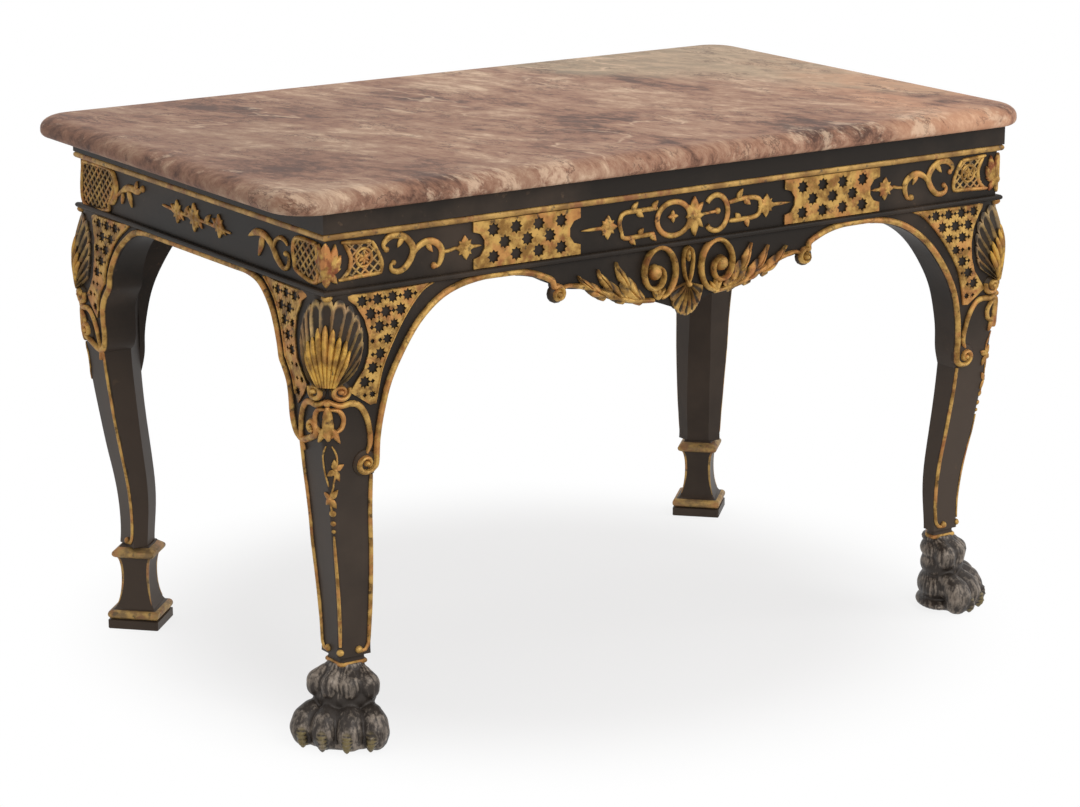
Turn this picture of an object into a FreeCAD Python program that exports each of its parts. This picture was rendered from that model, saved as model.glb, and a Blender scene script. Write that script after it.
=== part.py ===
import FreeCAD, Part
import math
import os

# A pier table: an ebonised and gilt frame with carved cabriole legs under a loose marble slab.
# Millimetres, +Z up. The front faces -Y. The origin is on the floor, under the middle of the slab.

Vector = FreeCAD.Vector
origin = Vector(0, 0, 0)
flip_x = Vector(1, 0, 0)
flip_y = Vector(0, 1, 0)

# marble slab
table_height = 800.0
slab_thickness = 30.0
slab_overhang_left = 63.0
slab_overhang_right = 37.0
slab_overhang_front = 21.0
slab_overhang_back = 25.0
slab_corner_radius = 60.0
slab_top_round = 20.0
slab_bottom_round = 8.0

# frame: rails, cornice and mouldings
frame_width = 1182.0
frame_depth = 726.0
rail_thickness = 24.0
cornice_height = 30.0
cornice_thickness = 8.0
gilt_bead_height = 10.0
frieze_height = 68.0
astragal_height = 8.0
astragal_projection = 8.0
soffit_height = 8.0
tenon_length = 30.0
tenon_thickness = 10.0
tenon_shoulder = 12.0
peg_diameter = 8.0
peg_depth = 22.0
peg_cover = 2.0
peg_inset = 24.0
peg_clearance = 0.05
joint_clearance = 0.2
mortise_clearances = 5
bearer_width = 50.0
bearer_height = 32.0
bearer_spacing = 420.0
bearer_housing = 12.0
corner_block_leg = 52.0
corner_block_height = 60.0
corner_block_drop = 12.0

# cabriole legs
post_width = 69.0
knee_corner_radius = 28.0
shank_corner_radius = 7.0
foot_height = 130.0
# below the rail: drop, outward bulge, width of the return face, share of the knee's round corner
knee_stations = [
    (0.0, 6.0, 64.0, 1.0),
    (36.0, 10.0, 66.0, 1.0),
    (68.0, 12.0, 62.0, 1.0),
    (108.0, 11.0, 56.0, 1.0),
    (165.0, 8.0, 47.0, 0.8),
    (223.0, 2.0, 42.0, 0.25),
]
# from the knee to the ankle: share of the drop, bulge, width of the outer faces, width of the return
shank_stations = [
    (0.24, -7.0, 64.0, 38.0),
    (0.45, -15.0, 61.0, 34.0),
    (0.63, -23.0, 57.0, 30.0),
    (0.80, -28.0, 53.0, 26.0),
    (0.91, -29.0, 50.0, 24.0),
    (1.00, -28.0, 50.0, 24.0),
]

# feet
foot_set_in = 4.0
collar_height = 14.0
collar_neck = -2.0
collar_ring_height = 5.0
collar_ring_swell = 1.5
dowel_diameter = 20.0
dowel_length = 50.0
dowel_clearance = 0.15
plinth_width = 80.0
plinth_height = 15.0
torus_height = 14.0
torus_nose = 5.0
waist_width = 43.0
waist_rise = 0.62
waist_flare = 0.86
cap_width = 66.0
cap_height = 18.0
cap_nose = 6.0
toe_count = 4
toe_set_back = 9.0
toe_sides = 8
# a toe from the ankle down: reach ahead of the ankle, spread of the outer toes, share of the height, radius
toe_stations = [
    (14.0, 14.0, 0.97, 11.0),
    (42.0, 36.5, 0.78, 13.5),
    (44.0, 42.3, 0.61, 11.6),
    (62.0, 48.0, 0.32, 18.0),
    (67.0, 48.0, 0.15, 15.5),
    (61.0, 48.0, 0.00, 9.0),
]
# the pad behind the toes: share of the height, then its reach to the heel, to the front and to each side
pad_stations = [
    (1.00, 22.0, 25.0, 24.0),
    (0.72, 23.0, 34.0, 42.0),
    (0.40, 22.0, 44.0, 50.0),
    (0.14, 21.0, 54.0, 56.0),
    (0.00, 17.0, 52.0, 50.0),
]
# the pad's plan as shares of those reaches
pad_plan = [(-1, -0.45), (-0.4, -0.85), (0.5, -1), (1, -0.6), (1, 0.6), (0.5, 1), (-0.4, 0.85), (-1, 0.45)]

# knee brackets and the arch under each rail
bracket_depth = 40.0
bracket_fade = 150.0
arch_bead_width = 7.5
arch_bead_height = 6.0
arch_bead_seat = 3.0
arch_bead_margin = 1.0
volute_radius = 17.0
volute_height = 9.0
volute_seat = 10.0
volute_round = 4.0
front_volute_inset = 17.0
front_volute_drop = 231.0
side_volute_inset = 46.0
side_volute_drop = 176.0
# points of the arch from the leg's inner edge, from the leg up: distance along the rail, drop below the rail
front_toe = [(1.5, 248), (5, 236)]
front_arch = [(8, 221), (9, 196), (14, 161), (25, 121), (46, 82), (72, 48), (104, 22), (136, 8), (176, 0.8)]
side_hook = [(-46, 193), (-30, 203), (-14, 206)]
side_toe = [(2, 202), (12, 191), (17, 172), (17, 142), (21, 124), (34, 106)]
side_arch = [(41, 97), (46, 76), (57, 52), (74, 30), (105, 8), (140, 0.8)]
side_crest = [(185, 0.4), (240, 0.4)]

# carved apron under the front rail
apron_thickness = 20.0
apron_ball_radius = 13.0
apron_ball_out = 220.0
apron_ball_drop = 36.0
# the arch bead past the crest and the board's lower edge: distance from the middle, drop below the rail
arch_tail = [(312, 0.4), (288, 1.2), (267, 5), (249, 11), (231, 20), (218, 25)]
apron_edge = [(205, 30), (174, 35), (148, 46), (122, 58), (80, 68), (50, 69)]
apron_tip_drop = 88.0
apron_tip_width = 26.0
apron_tip_rise = 10.0
carving_height = 12.0
leaf_height = 9.6
carving_offset = 6.0
scroll_centre_out = 52.0
scroll_centre_drop = 25.0
scroll_half_width = 34.0
scroll_half_height = 44.0
scroll_band = 8.0
scroll_start = -100.0
scroll_turns = 1.3
scroll_steps = 20
scroll_eye_height = 14.0
scroll_eye_radius = 11.0
scroll_eye_out = 8.0
ring_width = 26.0
ring_height = 48.0
ring_band = 6.0
ring_drop = 6.0
# acanthus leaf from its root to its tip: distance from the middle, drop
leaf_outline = [
    (60, 62), (78, 56), (98, 34), (120, 9), (114, 28), (118, 42), (132, 30), (150, 13),
    (146, 28), (150, 38), (164, 28), (182, 16), (178, 28), (190, 28), (204, 26), (207, 33),
    (174, 38), (148, 49), (122, 61), (79, 71), (56, 72),
]

# knee shells and the pendant shell
shell_rib_count = 11
shell_half_width = 56.0
shell_half_height = 58.0
shell_centre_drop = 68.0
shell_root_drop = 126.0
shell_spread = 125.0
shell_relief = 9.0
shell_root_radius = 12.0
shell_root_out = 13.8
shell_rib_fill = 0.54
pendant_rib_count = 7
pendant_half_width = 32.0
pendant_length = 46.0
pendant_root_drop = 50.0
pendant_spread = 75.0
pendant_rib_fill = 0.75
rib_depth = 4.0
rib_shoulder_width = 0.75
rib_shoulder_height = 0.55
# a rib from its root to its rim: shares of its length, of its width and of the relief
shell_rib = [(0.1, 0.3, 0.75), (0.5, 0.66, 1.0), (0.86, 1.0, 0.95), (1.0, 0.7, 0.35)]
pendant_rib = [(0.1, 0.35, 0.8), (0.7, 1.0, 1.0), (1.0, 0.7, 0.4)]

# pierced trellis panels on the front frieze
trellis_length = 186.0
trellis_centre = 266.0
trellis_margin = 2.0
trellis_thickness = 3.0
trellis_notch_depth = 18.0
trellis_notch_height = 40.0
trellis_notch_floor = 22.0
star_pitch = 42.0
star_row_gap = 17.5
star_points = 8
star_outer_radius = 9.6
star_inner_radius = 6.2
star_rows = [(1, 4), (0, 3), (-1, 4)]

# levels and planes worked out from the sizes above
slab_bottom = table_height - slab_thickness
cornice_bottom = slab_bottom - cornice_height
bead_bottom = cornice_bottom - gilt_bead_height
frieze_bottom = bead_bottom - frieze_height
astragal_bottom = frieze_bottom - astragal_height
rail_bottom = astragal_bottom - soffit_height
half_width = frame_width / 2
half_depth = frame_depth / 2
post_inner_x = half_width - post_width
post_inner_y = half_depth - post_width
slab_left = -half_width - cornice_thickness - slab_overhang_left
slab_right = half_width + cornice_thickness + slab_overhang_right
slab_front = -half_depth - cornice_thickness - slab_overhang_front
slab_back = half_depth + cornice_thickness + slab_overhang_back
frame_shift = Vector(-(slab_left + slab_right) / 2, -(slab_front + slab_back) / 2, 0)

knee_drop = knee_stations[-1][0]
knee_foot = rail_bottom - knee_drop
ankle_bulge = shank_stations[-1][1]
ankle_face = shank_stations[-1][2]
ankle_return = shank_stations[-1][3]
ankle_centre = (ankle_face + ankle_return) / 4 + foot_set_in
foot_x = half_width + ankle_bulge - ankle_centre
foot_y = half_depth + ankle_bulge - ankle_centre
paw_top = foot_height - collar_height

corners = {
    "front_left": (-1, -1),
    "front_right": (1, -1),
    "back_left": (-1, 1),
    "back_right": (1, 1),
}


# helpers
def upright(solid):
    # a loft through mirrored outlines can come out inside out
    if solid.Volume < 0:
        solid.reverse()
    return solid


def to_corner(shape, corner):
    # pieces of a leg are made at the back right corner and mirrored to the others
    side_x, side_y = corners[corner]
    if side_x < 0:
        shape = shape.mirror(origin, flip_x)
    if side_y < 0:
        shape = shape.mirror(origin, flip_y)
    return shape


def box(x0, x1, y0, y1, z0, z1):
    return Part.makeBox(x1 - x0, y1 - y0, z1 - z0, Vector(x0, y0, z0))


def spline(points):
    curve = Part.BSplineCurve()
    curve.interpolate([Vector(*p) for p in points])
    return curve.toShape()


def outline(edges):
    return Part.Wire(Part.__sortEdges__(edges))


def polygon(points):
    return Part.makePolygon([Vector(*p) for p in points] + [Vector(*points[0])])


def place(along, run, out, z):
    # a point by its run along a rail, its distance out from the middle and its height
    return (run, out, z) if along == "x" else (out, run, z)


def rail_frame(along):
    # the leg's inner face and the rail's outer face for a rail that runs along x or y
    if along == "x":
        return post_inner_x, half_depth
    return post_inner_y, half_width


def save(name, shape):
    shape = shape.copy()
    shape.translate(frame_shift)
    shape = shape.removeSplitter() if len(shape.Solids) == 1 else shape
    if not shape.isValid():
        print("not valid:", name)
    print(name, len(shape.Solids), round(shape.Volume / 1000, 1), "cm3")
    shape.exportStep("parts/" + name + ".step")


# the leg's section at any height
def leg_stations():
    # height, bulge, outer face width, return width and corner radius, from the top down
    rows = []
    for drop, bulge, inner, share in knee_stations:
        radius = shank_corner_radius + share * (knee_corner_radius - shank_corner_radius)
        rows.append((rail_bottom - drop, bulge, post_width + bulge, inner, radius))
    for share, bulge, face, inner in shank_stations:
        z = knee_foot + share * (foot_height - knee_foot)
        rows.append((z, bulge, face, inner, shank_corner_radius))
    return rows


def leg_section(z, bulge, face, inner, radius):
    # two outer faces with a rounded arris, two returns and a canted inner corner
    x = half_width + bulge
    y = half_depth + bulge
    mid = radius * (1 - math.sqrt(0.5))
    arris = Part.Arc(Vector(x - radius, y, z), Vector(x - mid, y - mid, z), Vector(x, y - radius, z))
    flats = Part.makePolygon([
        Vector(x, y - radius, z),
        Vector(x, y - face, z),
        Vector(x - inner, y - face, z),
        Vector(x - face, y - inner, z),
        Vector(x - face, y, z),
        Vector(x - radius, y, z),
    ])
    return Part.Wire([arris.toShape()] + flats.Edges)


def between(z, column):
    # a value of the leg's stations at a height, by straight interpolation
    rows = leg_stations()
    for upper, lower in zip(rows, rows[1:]):
        if upper[0] >= z >= lower[0]:
            t = (upper[0] - z) / (upper[0] - lower[0])
            return upper[column] + t * (lower[column] - upper[column])
    return rows[0][column]


def knee_point(around, z, lift):
    # a point on the knee: distance round the corner from the diagonal, height and relief
    bulge = between(z, 1)
    radius = between(z, 4)
    centre_x = half_width + bulge - radius
    centre_y = half_depth + bulge - radius
    half_arc = radius * math.pi / 4
    if abs(around) <= half_arc:
        angle = math.pi / 4 + around / radius
        reach = radius + lift
        return Vector(centre_x + reach * math.cos(angle), centre_y + reach * math.sin(angle), z)
    rest = abs(around) - half_arc
    if around > 0:
        return Vector(centre_x - rest, centre_y + radius + lift, z)
    return Vector(centre_x + radius + lift, centre_y - rest, z)


# slab, mouldings and rails
def make_slab():
    slab = box(slab_left, slab_right, slab_front, slab_back, slab_bottom, table_height)
    uprights = [e for e in slab.Edges if abs(e.tangentAt(e.FirstParameter).z) > 0.99]
    slab = slab.makeFillet(slab_corner_radius, uprights)
    for z, radius in ((table_height, slab_top_round), (slab_bottom, slab_bottom_round)):
        rim = [e for e in slab.Edges if max(abs(e.BoundBox.ZMin - z), abs(e.BoundBox.ZMax - z)) < 0.01]
        slab = slab.makeFillet(radius, rim)
    return slab


def mitred_plan(side, reach):
    # plan of one side's strip, cut at 45 degrees at both corners
    ends = {
        "front": [(-half_width, -half_depth), (half_width, -half_depth)],
        "right": [(half_width, -half_depth), (half_width, half_depth)],
        "back": [(half_width, half_depth), (-half_width, half_depth)],
        "left": [(-half_width, half_depth), (-half_width, -half_depth)],
    }[side]
    far = []
    for x, y in reversed(ends):
        far.append((x + math.copysign(reach, x), y + math.copysign(reach, y)))
    points = [(x, y, 0) for x, y in ends + far]
    return Part.Face(polygon(points)).extrude(Vector(0, 0, table_height))


def run_moulding(profile, side):
    # a profile of (out, z) edges swept straight along one side and mitred
    face = Part.Face(outline(profile))
    length = frame_width + frame_depth
    face.translate(Vector(-length / 2, 0, 0))
    strip = face.extrude(Vector(length, 0, 0))
    turn = {"back": 0, "left": 90, "front": 180, "right": 270}[side]
    offset = half_depth if side in ("front", "back") else half_width
    strip.translate(Vector(0, offset, 0))
    strip.rotate(origin, Vector(0, 0, 1), turn)
    reach = cornice_thickness + astragal_projection
    return strip.common(mitred_plan(side, reach))


def nose_profile(z0, z1, projection):
    # flat back, flat top and bottom, and a half-round nose
    radius = (z1 - z0) / 2
    flat = projection - radius
    top = Vector(0, flat, z1)
    tip = Vector(0, projection, (z0 + z1) / 2)
    bottom = Vector(0, flat, z0)
    flats = Part.makePolygon([bottom, Vector(0, 0, z0), Vector(0, 0, z1), top])
    return flats.Edges + [Part.Arc(top, tip, bottom).toShape()]


def make_cornice(side):
    corners_of_board = [
        (0, 0, cornice_bottom),
        (0, cornice_thickness, cornice_bottom),
        (0, cornice_thickness, slab_bottom),
        (0, 0, slab_bottom),
    ]
    return run_moulding(polygon(corners_of_board).Edges, side)


def make_tenon(along, z0, z1, grow):
    # the tenon at the positive end of a rail, grown by a clearance for its mortise
    inner, outer = rail_frame(along)
    middle = outer - rail_thickness / 2
    half = tenon_thickness / 2 + grow
    end = inner + tenon_length + grow * mortise_clearances
    low = place(along, inner, middle - half, z0 - grow)
    high = place(along, end, middle + half, z1 + grow)
    return box(low[0], high[0], low[1], high[1], low[2], high[2])


tenon_bottom = rail_bottom + tenon_shoulder
tenon_top = slab_bottom - tenon_shoulder


def make_bearer_end(grow):
    # the housed end of a slab bearer in the top of the back rail
    x = bearer_spacing / 2
    y = half_depth - rail_thickness
    z = slab_bottom - bearer_height
    return box(x - bearer_width / 2 - grow, x + bearer_width / 2 + grow, y - grow,
               y + bearer_housing + grow, z - grow, slab_bottom)


def make_rail(side):
    along = "x" if side in ("front", "back") else "y"
    inner, outer = rail_frame(along)
    low = place(along, -inner, outer - rail_thickness, rail_bottom)
    high = place(along, inner, outer, slab_bottom)
    rail = box(low[0], high[0], low[1], high[1], low[2], high[2])
    tenon = make_tenon(along, tenon_bottom, tenon_top, 0)
    rail = rail.fuse([tenon, tenon.mirror(origin, flip_x if along == "x" else flip_y)])
    rail = rail.cut(make_pegs(peg_clearance))
    if along == "x":
        housing = make_bearer_end(joint_clearance)
        rail = rail.cut([housing, housing.mirror(origin, flip_x)])
    if side in ("front", "left"):
        rail = rail.mirror(origin, flip_y if side == "front" else flip_x)
    return rail


def make_pegs(grow):
    # two pegs through each tenon at the back right corner, mirrored where needed
    pegs = []
    radius = peg_diameter / 2 + grow
    for along in ("x", "y"):
        inner, outer = rail_frame(along)
        inward = Vector(0, -1, 0) if along == "x" else Vector(-1, 0, 0)
        for z in (tenon_bottom + peg_inset, tenon_top - peg_inset):
            start = Vector(*place(along, inner + tenon_length / 2, outer - peg_cover + grow, z))
            peg = Part.makeCylinder(radius, peg_depth + 2 * grow, start, inward)
            pegs += [peg, peg.mirror(origin, flip_x if along == "x" else flip_y)]
    return Part.makeCompound(pegs)


def make_corner_block():
    # a glue block that fills the angle of two rails around the post
    x = half_width - rail_thickness
    y = half_depth - rail_thickness
    z = slab_bottom - bearer_height - corner_block_drop
    reach = post_width - rail_thickness + corner_block_leg
    plan = polygon([
        (post_inner_x, y, z), (x - reach, y, z), (x, y - reach, z), (x, post_inner_y, z),
        (post_inner_x, post_inner_y, z),
    ])
    return Part.Face(plan).extrude(Vector(0, 0, -corner_block_height))


def make_bearer():
    y = half_depth - rail_thickness
    x = bearer_spacing / 2
    span = box(x - bearer_width / 2, x + bearer_width / 2, -y, y, slab_bottom - bearer_height, slab_bottom)
    end = make_bearer_end(0)
    return span.fuse([end, end.mirror(origin, flip_y)])


# legs and feet
def make_leg():
    sections = [leg_section(*row) for row in leg_stations()]
    shaped = upright(Part.makeLoft(sections, True, False))
    post = box(post_inner_x, half_width, post_inner_y, half_depth, rail_bottom, slab_bottom)
    leg = shaped.fuse(post)
    for along in ("x", "y"):
        leg = leg.cut(make_tenon(along, tenon_bottom, tenon_top, joint_clearance))
    leg = leg.cut(make_pegs(peg_clearance))
    hole = make_dowel(dowel_clearance, foot_height)
    return leg.cut(hole)


def make_dowel(grow, middle):
    start = Vector(foot_x, foot_y, middle - dowel_length / 2 - grow)
    return Part.makeCylinder(dowel_diameter / 2 + grow, dowel_length + 2 * grow, start)


def square_turning(profile):
    # a square block with the same moulded outline on all four faces
    left = [(-half, 0, z) for half, z in profile]
    right = [(half, 0, z) for half, z in reversed(profile)]
    face = Part.Face(polygon(left + right))
    reach = plinth_width
    one = face.copy()
    one.translate(Vector(0, -reach, 0))
    one = one.extrude(Vector(0, 2 * reach, 0))
    other = one.copy()
    other.rotate(origin, Vector(0, 0, 1), 90)
    return one.common(other)


def arc_points(centre_half, centre_z, radius_half, radius_z, start, end, count):
    points = []
    for i in range(count + 1):
        angle = math.radians(start + (end - start) * i / count)
        points.append((centre_half + radius_half * math.cos(angle), centre_z + radius_z * math.sin(angle)))
    return points


def make_block_foot():
    # plinth, torus, hollow waist and moulded cap, set square to the leg's diagonal
    half = plinth_width / 2
    waist = waist_width / 2
    cap = cap_width / 2
    torus_top = plinth_height + torus_height
    cap_bottom = foot_height - cap_height
    flare = half * waist_flare - waist
    neck = cap * waist_flare - waist
    waist_z = torus_top + (cap_bottom - torus_top) * waist_rise
    profile = [(half, 0), (half, plinth_height)]
    profile += arc_points(half - torus_nose, plinth_height + torus_height / 2,
                          torus_nose, torus_height / 2, -90, 90, 6)
    profile += arc_points(waist + flare, waist_z, flare, waist_z - torus_top, 270, 180, 8)
    profile += arc_points(waist + neck, waist_z, neck, cap_bottom - waist_z, 180, 90, 5)[1:]
    profile += arc_points(cap - cap_nose, cap_bottom + cap_height / 2, cap_nose, cap_height / 2, -90, 90, 6)
    foot = square_turning(profile)
    foot.rotate(origin, Vector(0, 0, 1), 45)
    foot.translate(Vector(foot_x, foot_y, 0))
    return foot.cut(make_dowel(dowel_clearance, foot_height))


def ankle_section(z, swell):
    return leg_section(z, ankle_bulge + swell, ankle_face + 2 * swell, ankle_return + swell,
                       shank_corner_radius)


def make_collar():
    # a neck a little narrower than the ankle, with a ring at its foot
    collar = []
    for top, bottom, swell in ((foot_height, paw_top, collar_neck),
                               (paw_top + collar_ring_height, paw_top, collar_ring_swell)):
        face = Part.Face(ankle_section(top, swell))
        collar.append(upright(face.extrude(Vector(0, 0, bottom - top))))
    return fuse_all(collar).cut(make_dowel(dowel_clearance, foot_height))


def toe_ring(centre, normal, radius):
    # a many-sided section of a toe, square to its path
    side = Vector(0, 1, 0)
    rise = normal.cross(side)
    rise.normalize()
    points = []
    for i in range(toe_sides):
        angle = 2 * math.pi * (i + 0.5) / toe_sides
        points.append(centre + side * (radius * math.cos(angle)) + rise * (radius * math.sin(angle)))
    return Part.makePolygon(points + [points[0]])


def make_toe(share):
    # share runs from -1 to 1 across the paw; the paw points along +X before it is turned
    back = toe_set_back * share * share
    path = []
    rings = []
    for reach, spread, rise, radius in toe_stations:
        path.append(Vector(reach - back, share * spread, paw_top * rise))
    for i, point in enumerate(path):
        along = path[min(i + 1, len(path) - 1)] - path[max(i - 1, 0)]
        normal = Vector(along.x, 0, along.z) if i < len(path) - 1 else Vector(0, 0, -1)
        normal.normalize()
        rings.append(toe_ring(point, normal, toe_stations[i][3]))
    return upright(Part.makeLoft(rings, True, True))


def make_paw():
    # heel and pad under the ankle, with a row of toes that bend at the knuckle
    rings = []
    for rise, heel, front, side in pad_stations:
        plan = [((front if ahead > 0 else heel) * ahead, side * across) for ahead, across in pad_plan]
        rings.append(polygon([(x, y, paw_top * rise) for x, y in plan]))
    paw = upright(Part.makeLoft(rings, True, True))
    toes = [make_toe(-1 + 2 * i / (toe_count - 1)) for i in range(toe_count)]
    reach = foot_height * 2
    paw = paw.fuse(toes).common(box(-reach, reach, -reach, reach, 0, paw_top))
    paw.rotate(origin, Vector(0, 0, 1), 45)
    paw.translate(Vector(foot_x, foot_y, 0))
    return paw.cut(make_dowel(dowel_clearance, foot_height))


# brackets and arches
def rail_face(along, run, z):
    # how far out the face lies: the knee's bulge, fading to flat along the rail
    inner, outer = rail_frame(along)
    share = 1 - min(max(inner - abs(run), 0) / bracket_fade, 1)
    return outer + share * between(z, 1)


def swelled_body(along, low):
    # stock for a bracket, as deep as the bracket, between the leg and the middle of the rail
    inner, outer = rail_frame(along)
    wires = []
    heights = [rail_bottom - drop for drop, *rest in knee_stations] + [low]
    for run in (inner, inner - bracket_fade, 0):
        front = [place(along, run, rail_face(along, run, z), z) for z in heights]
        back = [place(along, run, outer - bracket_depth, z) for z in (rail_bottom, low)]
        sides = Part.makePolygon([Vector(*p) for p in (front[0], back[0], back[1], front[-1])])
        wires.append(outline([spline(front)] + sides.Edges))
    return upright(Part.makeLoft(wires, True, True))


def arch_points(arch, inner):
    # the arch as points of (run, z) from the leg to the crest
    return [(inner - along, rail_bottom - drop) for along, drop in arch]


def make_bracket(along, arch):
    inner, outer = rail_frame(along)
    flat = outer - bracket_depth - 1
    points = arch_points(arch, inner)
    curve = [Vector(*place(along, run, flat, z)) for run, z in points]
    edge = [
        Vector(*place(along, points[-1][0], flat, rail_bottom)),
        Vector(*place(along, inner, flat, rail_bottom)),
        Vector(*place(along, inner, flat, points[0][1])),
    ]
    closing = Part.makePolygon([curve[-1]] + edge + [curve[0]])
    face = Part.Face(outline([spline(curve)] + closing.Edges))
    prism = face.extrude(Vector(*place(along, 0, bracket_depth * 2, 0)))
    low = min(points[0][1], knee_foot) - volute_radius
    return prism.common(swelled_body(along, low))


def make_arch_band(along, points):
    # the gilt bead on the face of the arch's edge, let a little into the wood until it is cut to its seat
    path = Part.BSplineCurve()
    path.interpolate([Vector(run, 0, z) for run, z in points])
    sections = []
    for run, z in points:
        ahead = path.tangent(path.parameter(Vector(run, 0, z)))[0]
        corners_of_band = []
        for inset in (arch_bead_margin, arch_bead_margin + arch_bead_width):
            at = run + inset * ahead.z
            up = min(z - inset * ahead.x, astragal_bottom)
            face = rail_face(along, at, min(up, rail_bottom))
            corners_of_band += [(at, face - arch_bead_seat, up), (at, face + arch_bead_height, up)]
        corners_of_band[2:] = reversed(corners_of_band[2:])
        sections.append(polygon([place(along, at, out, up) for at, out, up in corners_of_band]))
    return upright(Part.makeLoft(sections, True, False))


def make_volute(inset, drop):
    # the round end of a bead on the outer face of the leg
    inner, outer = rail_frame("x")
    z = rail_bottom - drop
    start = Vector(inner + inset, outer - volute_seat, z)
    height = volute_seat + between(z, 1) + volute_height
    disc = Part.makeCylinder(volute_radius, height, start, Vector(0, 1, 0))
    rim = [e for e in disc.Edges if e.Curve.TypeId == "Part::GeomCircle"]
    far = max(rim, key=lambda e: e.CenterOfMass.y)
    return disc.makeFillet(volute_round, [far])


def both_ends(piece):
    # a piece of a side and its mirror at the side's other end
    return [piece, piece.mirror(origin, flip_y)]


def one_node(pieces):
    return Part.makeCompound([solid for piece in pieces for solid in piece.Solids])


def make_front_bead(leg, bracket, apron):
    # half of the front arch's bead: the band, its volute on the leg and the ball at its end
    points = arch_points(front_arch, post_inner_x) + [(run, rail_bottom - drop) for run, drop in arch_tail]
    volute = make_volute(front_volute_inset, front_volute_drop)
    centre = Vector(apron_ball_out, half_depth + arch_bead_height / 2, rail_bottom - apron_ball_drop)
    ball = Part.makeSphere(apron_ball_radius, centre)
    band = make_arch_band("x", points).cut([leg, bracket, make_rail("back"), apron])
    return one_node([band.cut([volute, ball]), volute.cut([leg, bracket]), ball.cut(apron)])


def make_side_bead(leg, bracket):
    # a side arch's bead: the band over the crest, and a hook and a volute at each leg
    half = arch_points(side_arch + side_crest, post_inner_y)
    crest = make_arch_band("y", half + [(-run, z) for run, z in reversed(half)])
    crest = crest.cut(both_ends(leg) + both_ends(bracket) + [make_rail("right")])
    volute = make_volute(side_volute_inset, side_volute_drop)
    volute = volute.mirror(Vector(half_width, half_depth, 0), Vector(1, -1, 0))
    hook = make_arch_band("y", arch_points(side_hook + side_toe, post_inner_y)).cut([leg, bracket, volute])
    return one_node([crest] + both_ends(hook) + both_ends(volute.cut([leg, bracket])))


# carving
def make_rib(stations):
    # each station is a point on the surface, its normal, the way along the rib, half width and relief
    wires = []
    for point, normal, way, wide, relief in stations:
        side = normal.cross(way)
        side.normalize()
        shoulder = wide * rib_shoulder_width
        edge = relief * rib_shoulder_height
        section = [(-wide, -rib_depth), (-shoulder, edge), (0, relief), (shoulder, edge), (wide, -rib_depth)]
        corners_of_rib = [point + side * across + normal * lift for across, lift in section]
        wires.append(Part.makePolygon(corners_of_rib + [corners_of_rib[0]]))
    return upright(Part.makeLoft(wires, True, True))


def fuse_all(solids):
    return solids[0].fuse(solids[1:])


def largest(shape):
    return max(shape.Solids, key=lambda solid: solid.Volume)


def knee_frame(around, z, way):
    # point, outward normal and direction on the knee's skin
    point = knee_point(around, z, 0)
    normal = knee_point(around, z, 1) - point
    ahead = knee_point(around + way[0], z + way[1], 0) - point
    ahead.normalize()
    return point, normal, ahead


def make_knee_shell(leg):
    # scallop ribs that spring from a root on the arris and wrap round the knee's corner
    root_z = rail_bottom - shell_root_drop
    centre_z = rail_bottom - shell_centre_drop
    step = math.radians(shell_spread) * 2 / (shell_rib_count - 1)
    wide = shell_half_width * step * shell_rib_fill
    ribs = []
    for i in range(shell_rib_count):
        turn = -math.radians(shell_spread) + step * i
        rim = (shell_half_width * math.sin(turn), centre_z + shell_half_height * math.cos(turn) - root_z)
        length = math.hypot(*rim)
        way = (rim[0] / length, rim[1] / length)
        stations = []
        for t, width_share, relief in shell_rib:
            frame = knee_frame(way[0] * length * t, root_z + way[1] * length * t, way)
            stations.append(frame + (wide * width_share, shell_relief * relief))
        ribs.append(make_rib(stations))
    for side in (-1, 1):
        centre, out, up = knee_frame(side * shell_root_out, root_z, (0, 1))
        start = centre - out * 2 * rib_depth
        ribs.append(Part.makeCylinder(shell_root_radius, shell_relief + 2 * rib_depth, start, out))
    return fuse_all(ribs).cut(leg)


def make_pendant_shell(neighbours):
    # a small scallop that hangs from the middle of the apron
    root_z = rail_bottom - pendant_root_drop
    normal = Vector(0, -1, 0)
    step = math.radians(pendant_spread) * 2 / (pendant_rib_count - 1)
    wide = pendant_half_width * step * pendant_rib_fill
    ribs = []
    for i in range(pendant_rib_count):
        turn = -math.radians(pendant_spread) + step * i
        way = Vector(pendant_half_width * math.sin(turn), 0, -pendant_length * math.cos(turn))
        length = way.Length
        way.normalize()
        stations = []
        for t, width_share, relief in pendant_rib:
            point = Vector(0, -half_depth, root_z) + way * (length * t)
            stations.append((point, normal, way, wide * width_share, carving_height * relief))
        ribs.append(make_rib(stations))
    return largest(fuse_all(ribs).cut(neighbours))


def make_apron():
    # the shaped board under the middle of the front rail
    right = [Vector(run, -half_depth, rail_bottom - drop) for run, drop in arch_tail[1:] + apron_edge]
    left = [Vector(-p.x, p.y, p.z) for p in right]
    tip_z = rail_bottom - apron_tip_drop
    tip_right = Vector(apron_tip_width, -half_depth, tip_z + apron_tip_rise)
    tip_left = Vector(-apron_tip_width, -half_depth, tip_z + apron_tip_rise)
    tip = [right[-1], tip_right, Vector(0, -half_depth, tip_z), tip_left, left[-1]]
    top = [left[0], Vector(left[0].x, -half_depth, rail_bottom), Vector(right[0].x, -half_depth, rail_bottom),
           right[0]]
    edges = Part.makePolygon(tip).Edges + Part.makePolygon(top).Edges + [spline(right), spline(left)]
    return Part.Face(outline(edges)).extrude(Vector(0, apron_thickness, 0))


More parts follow.
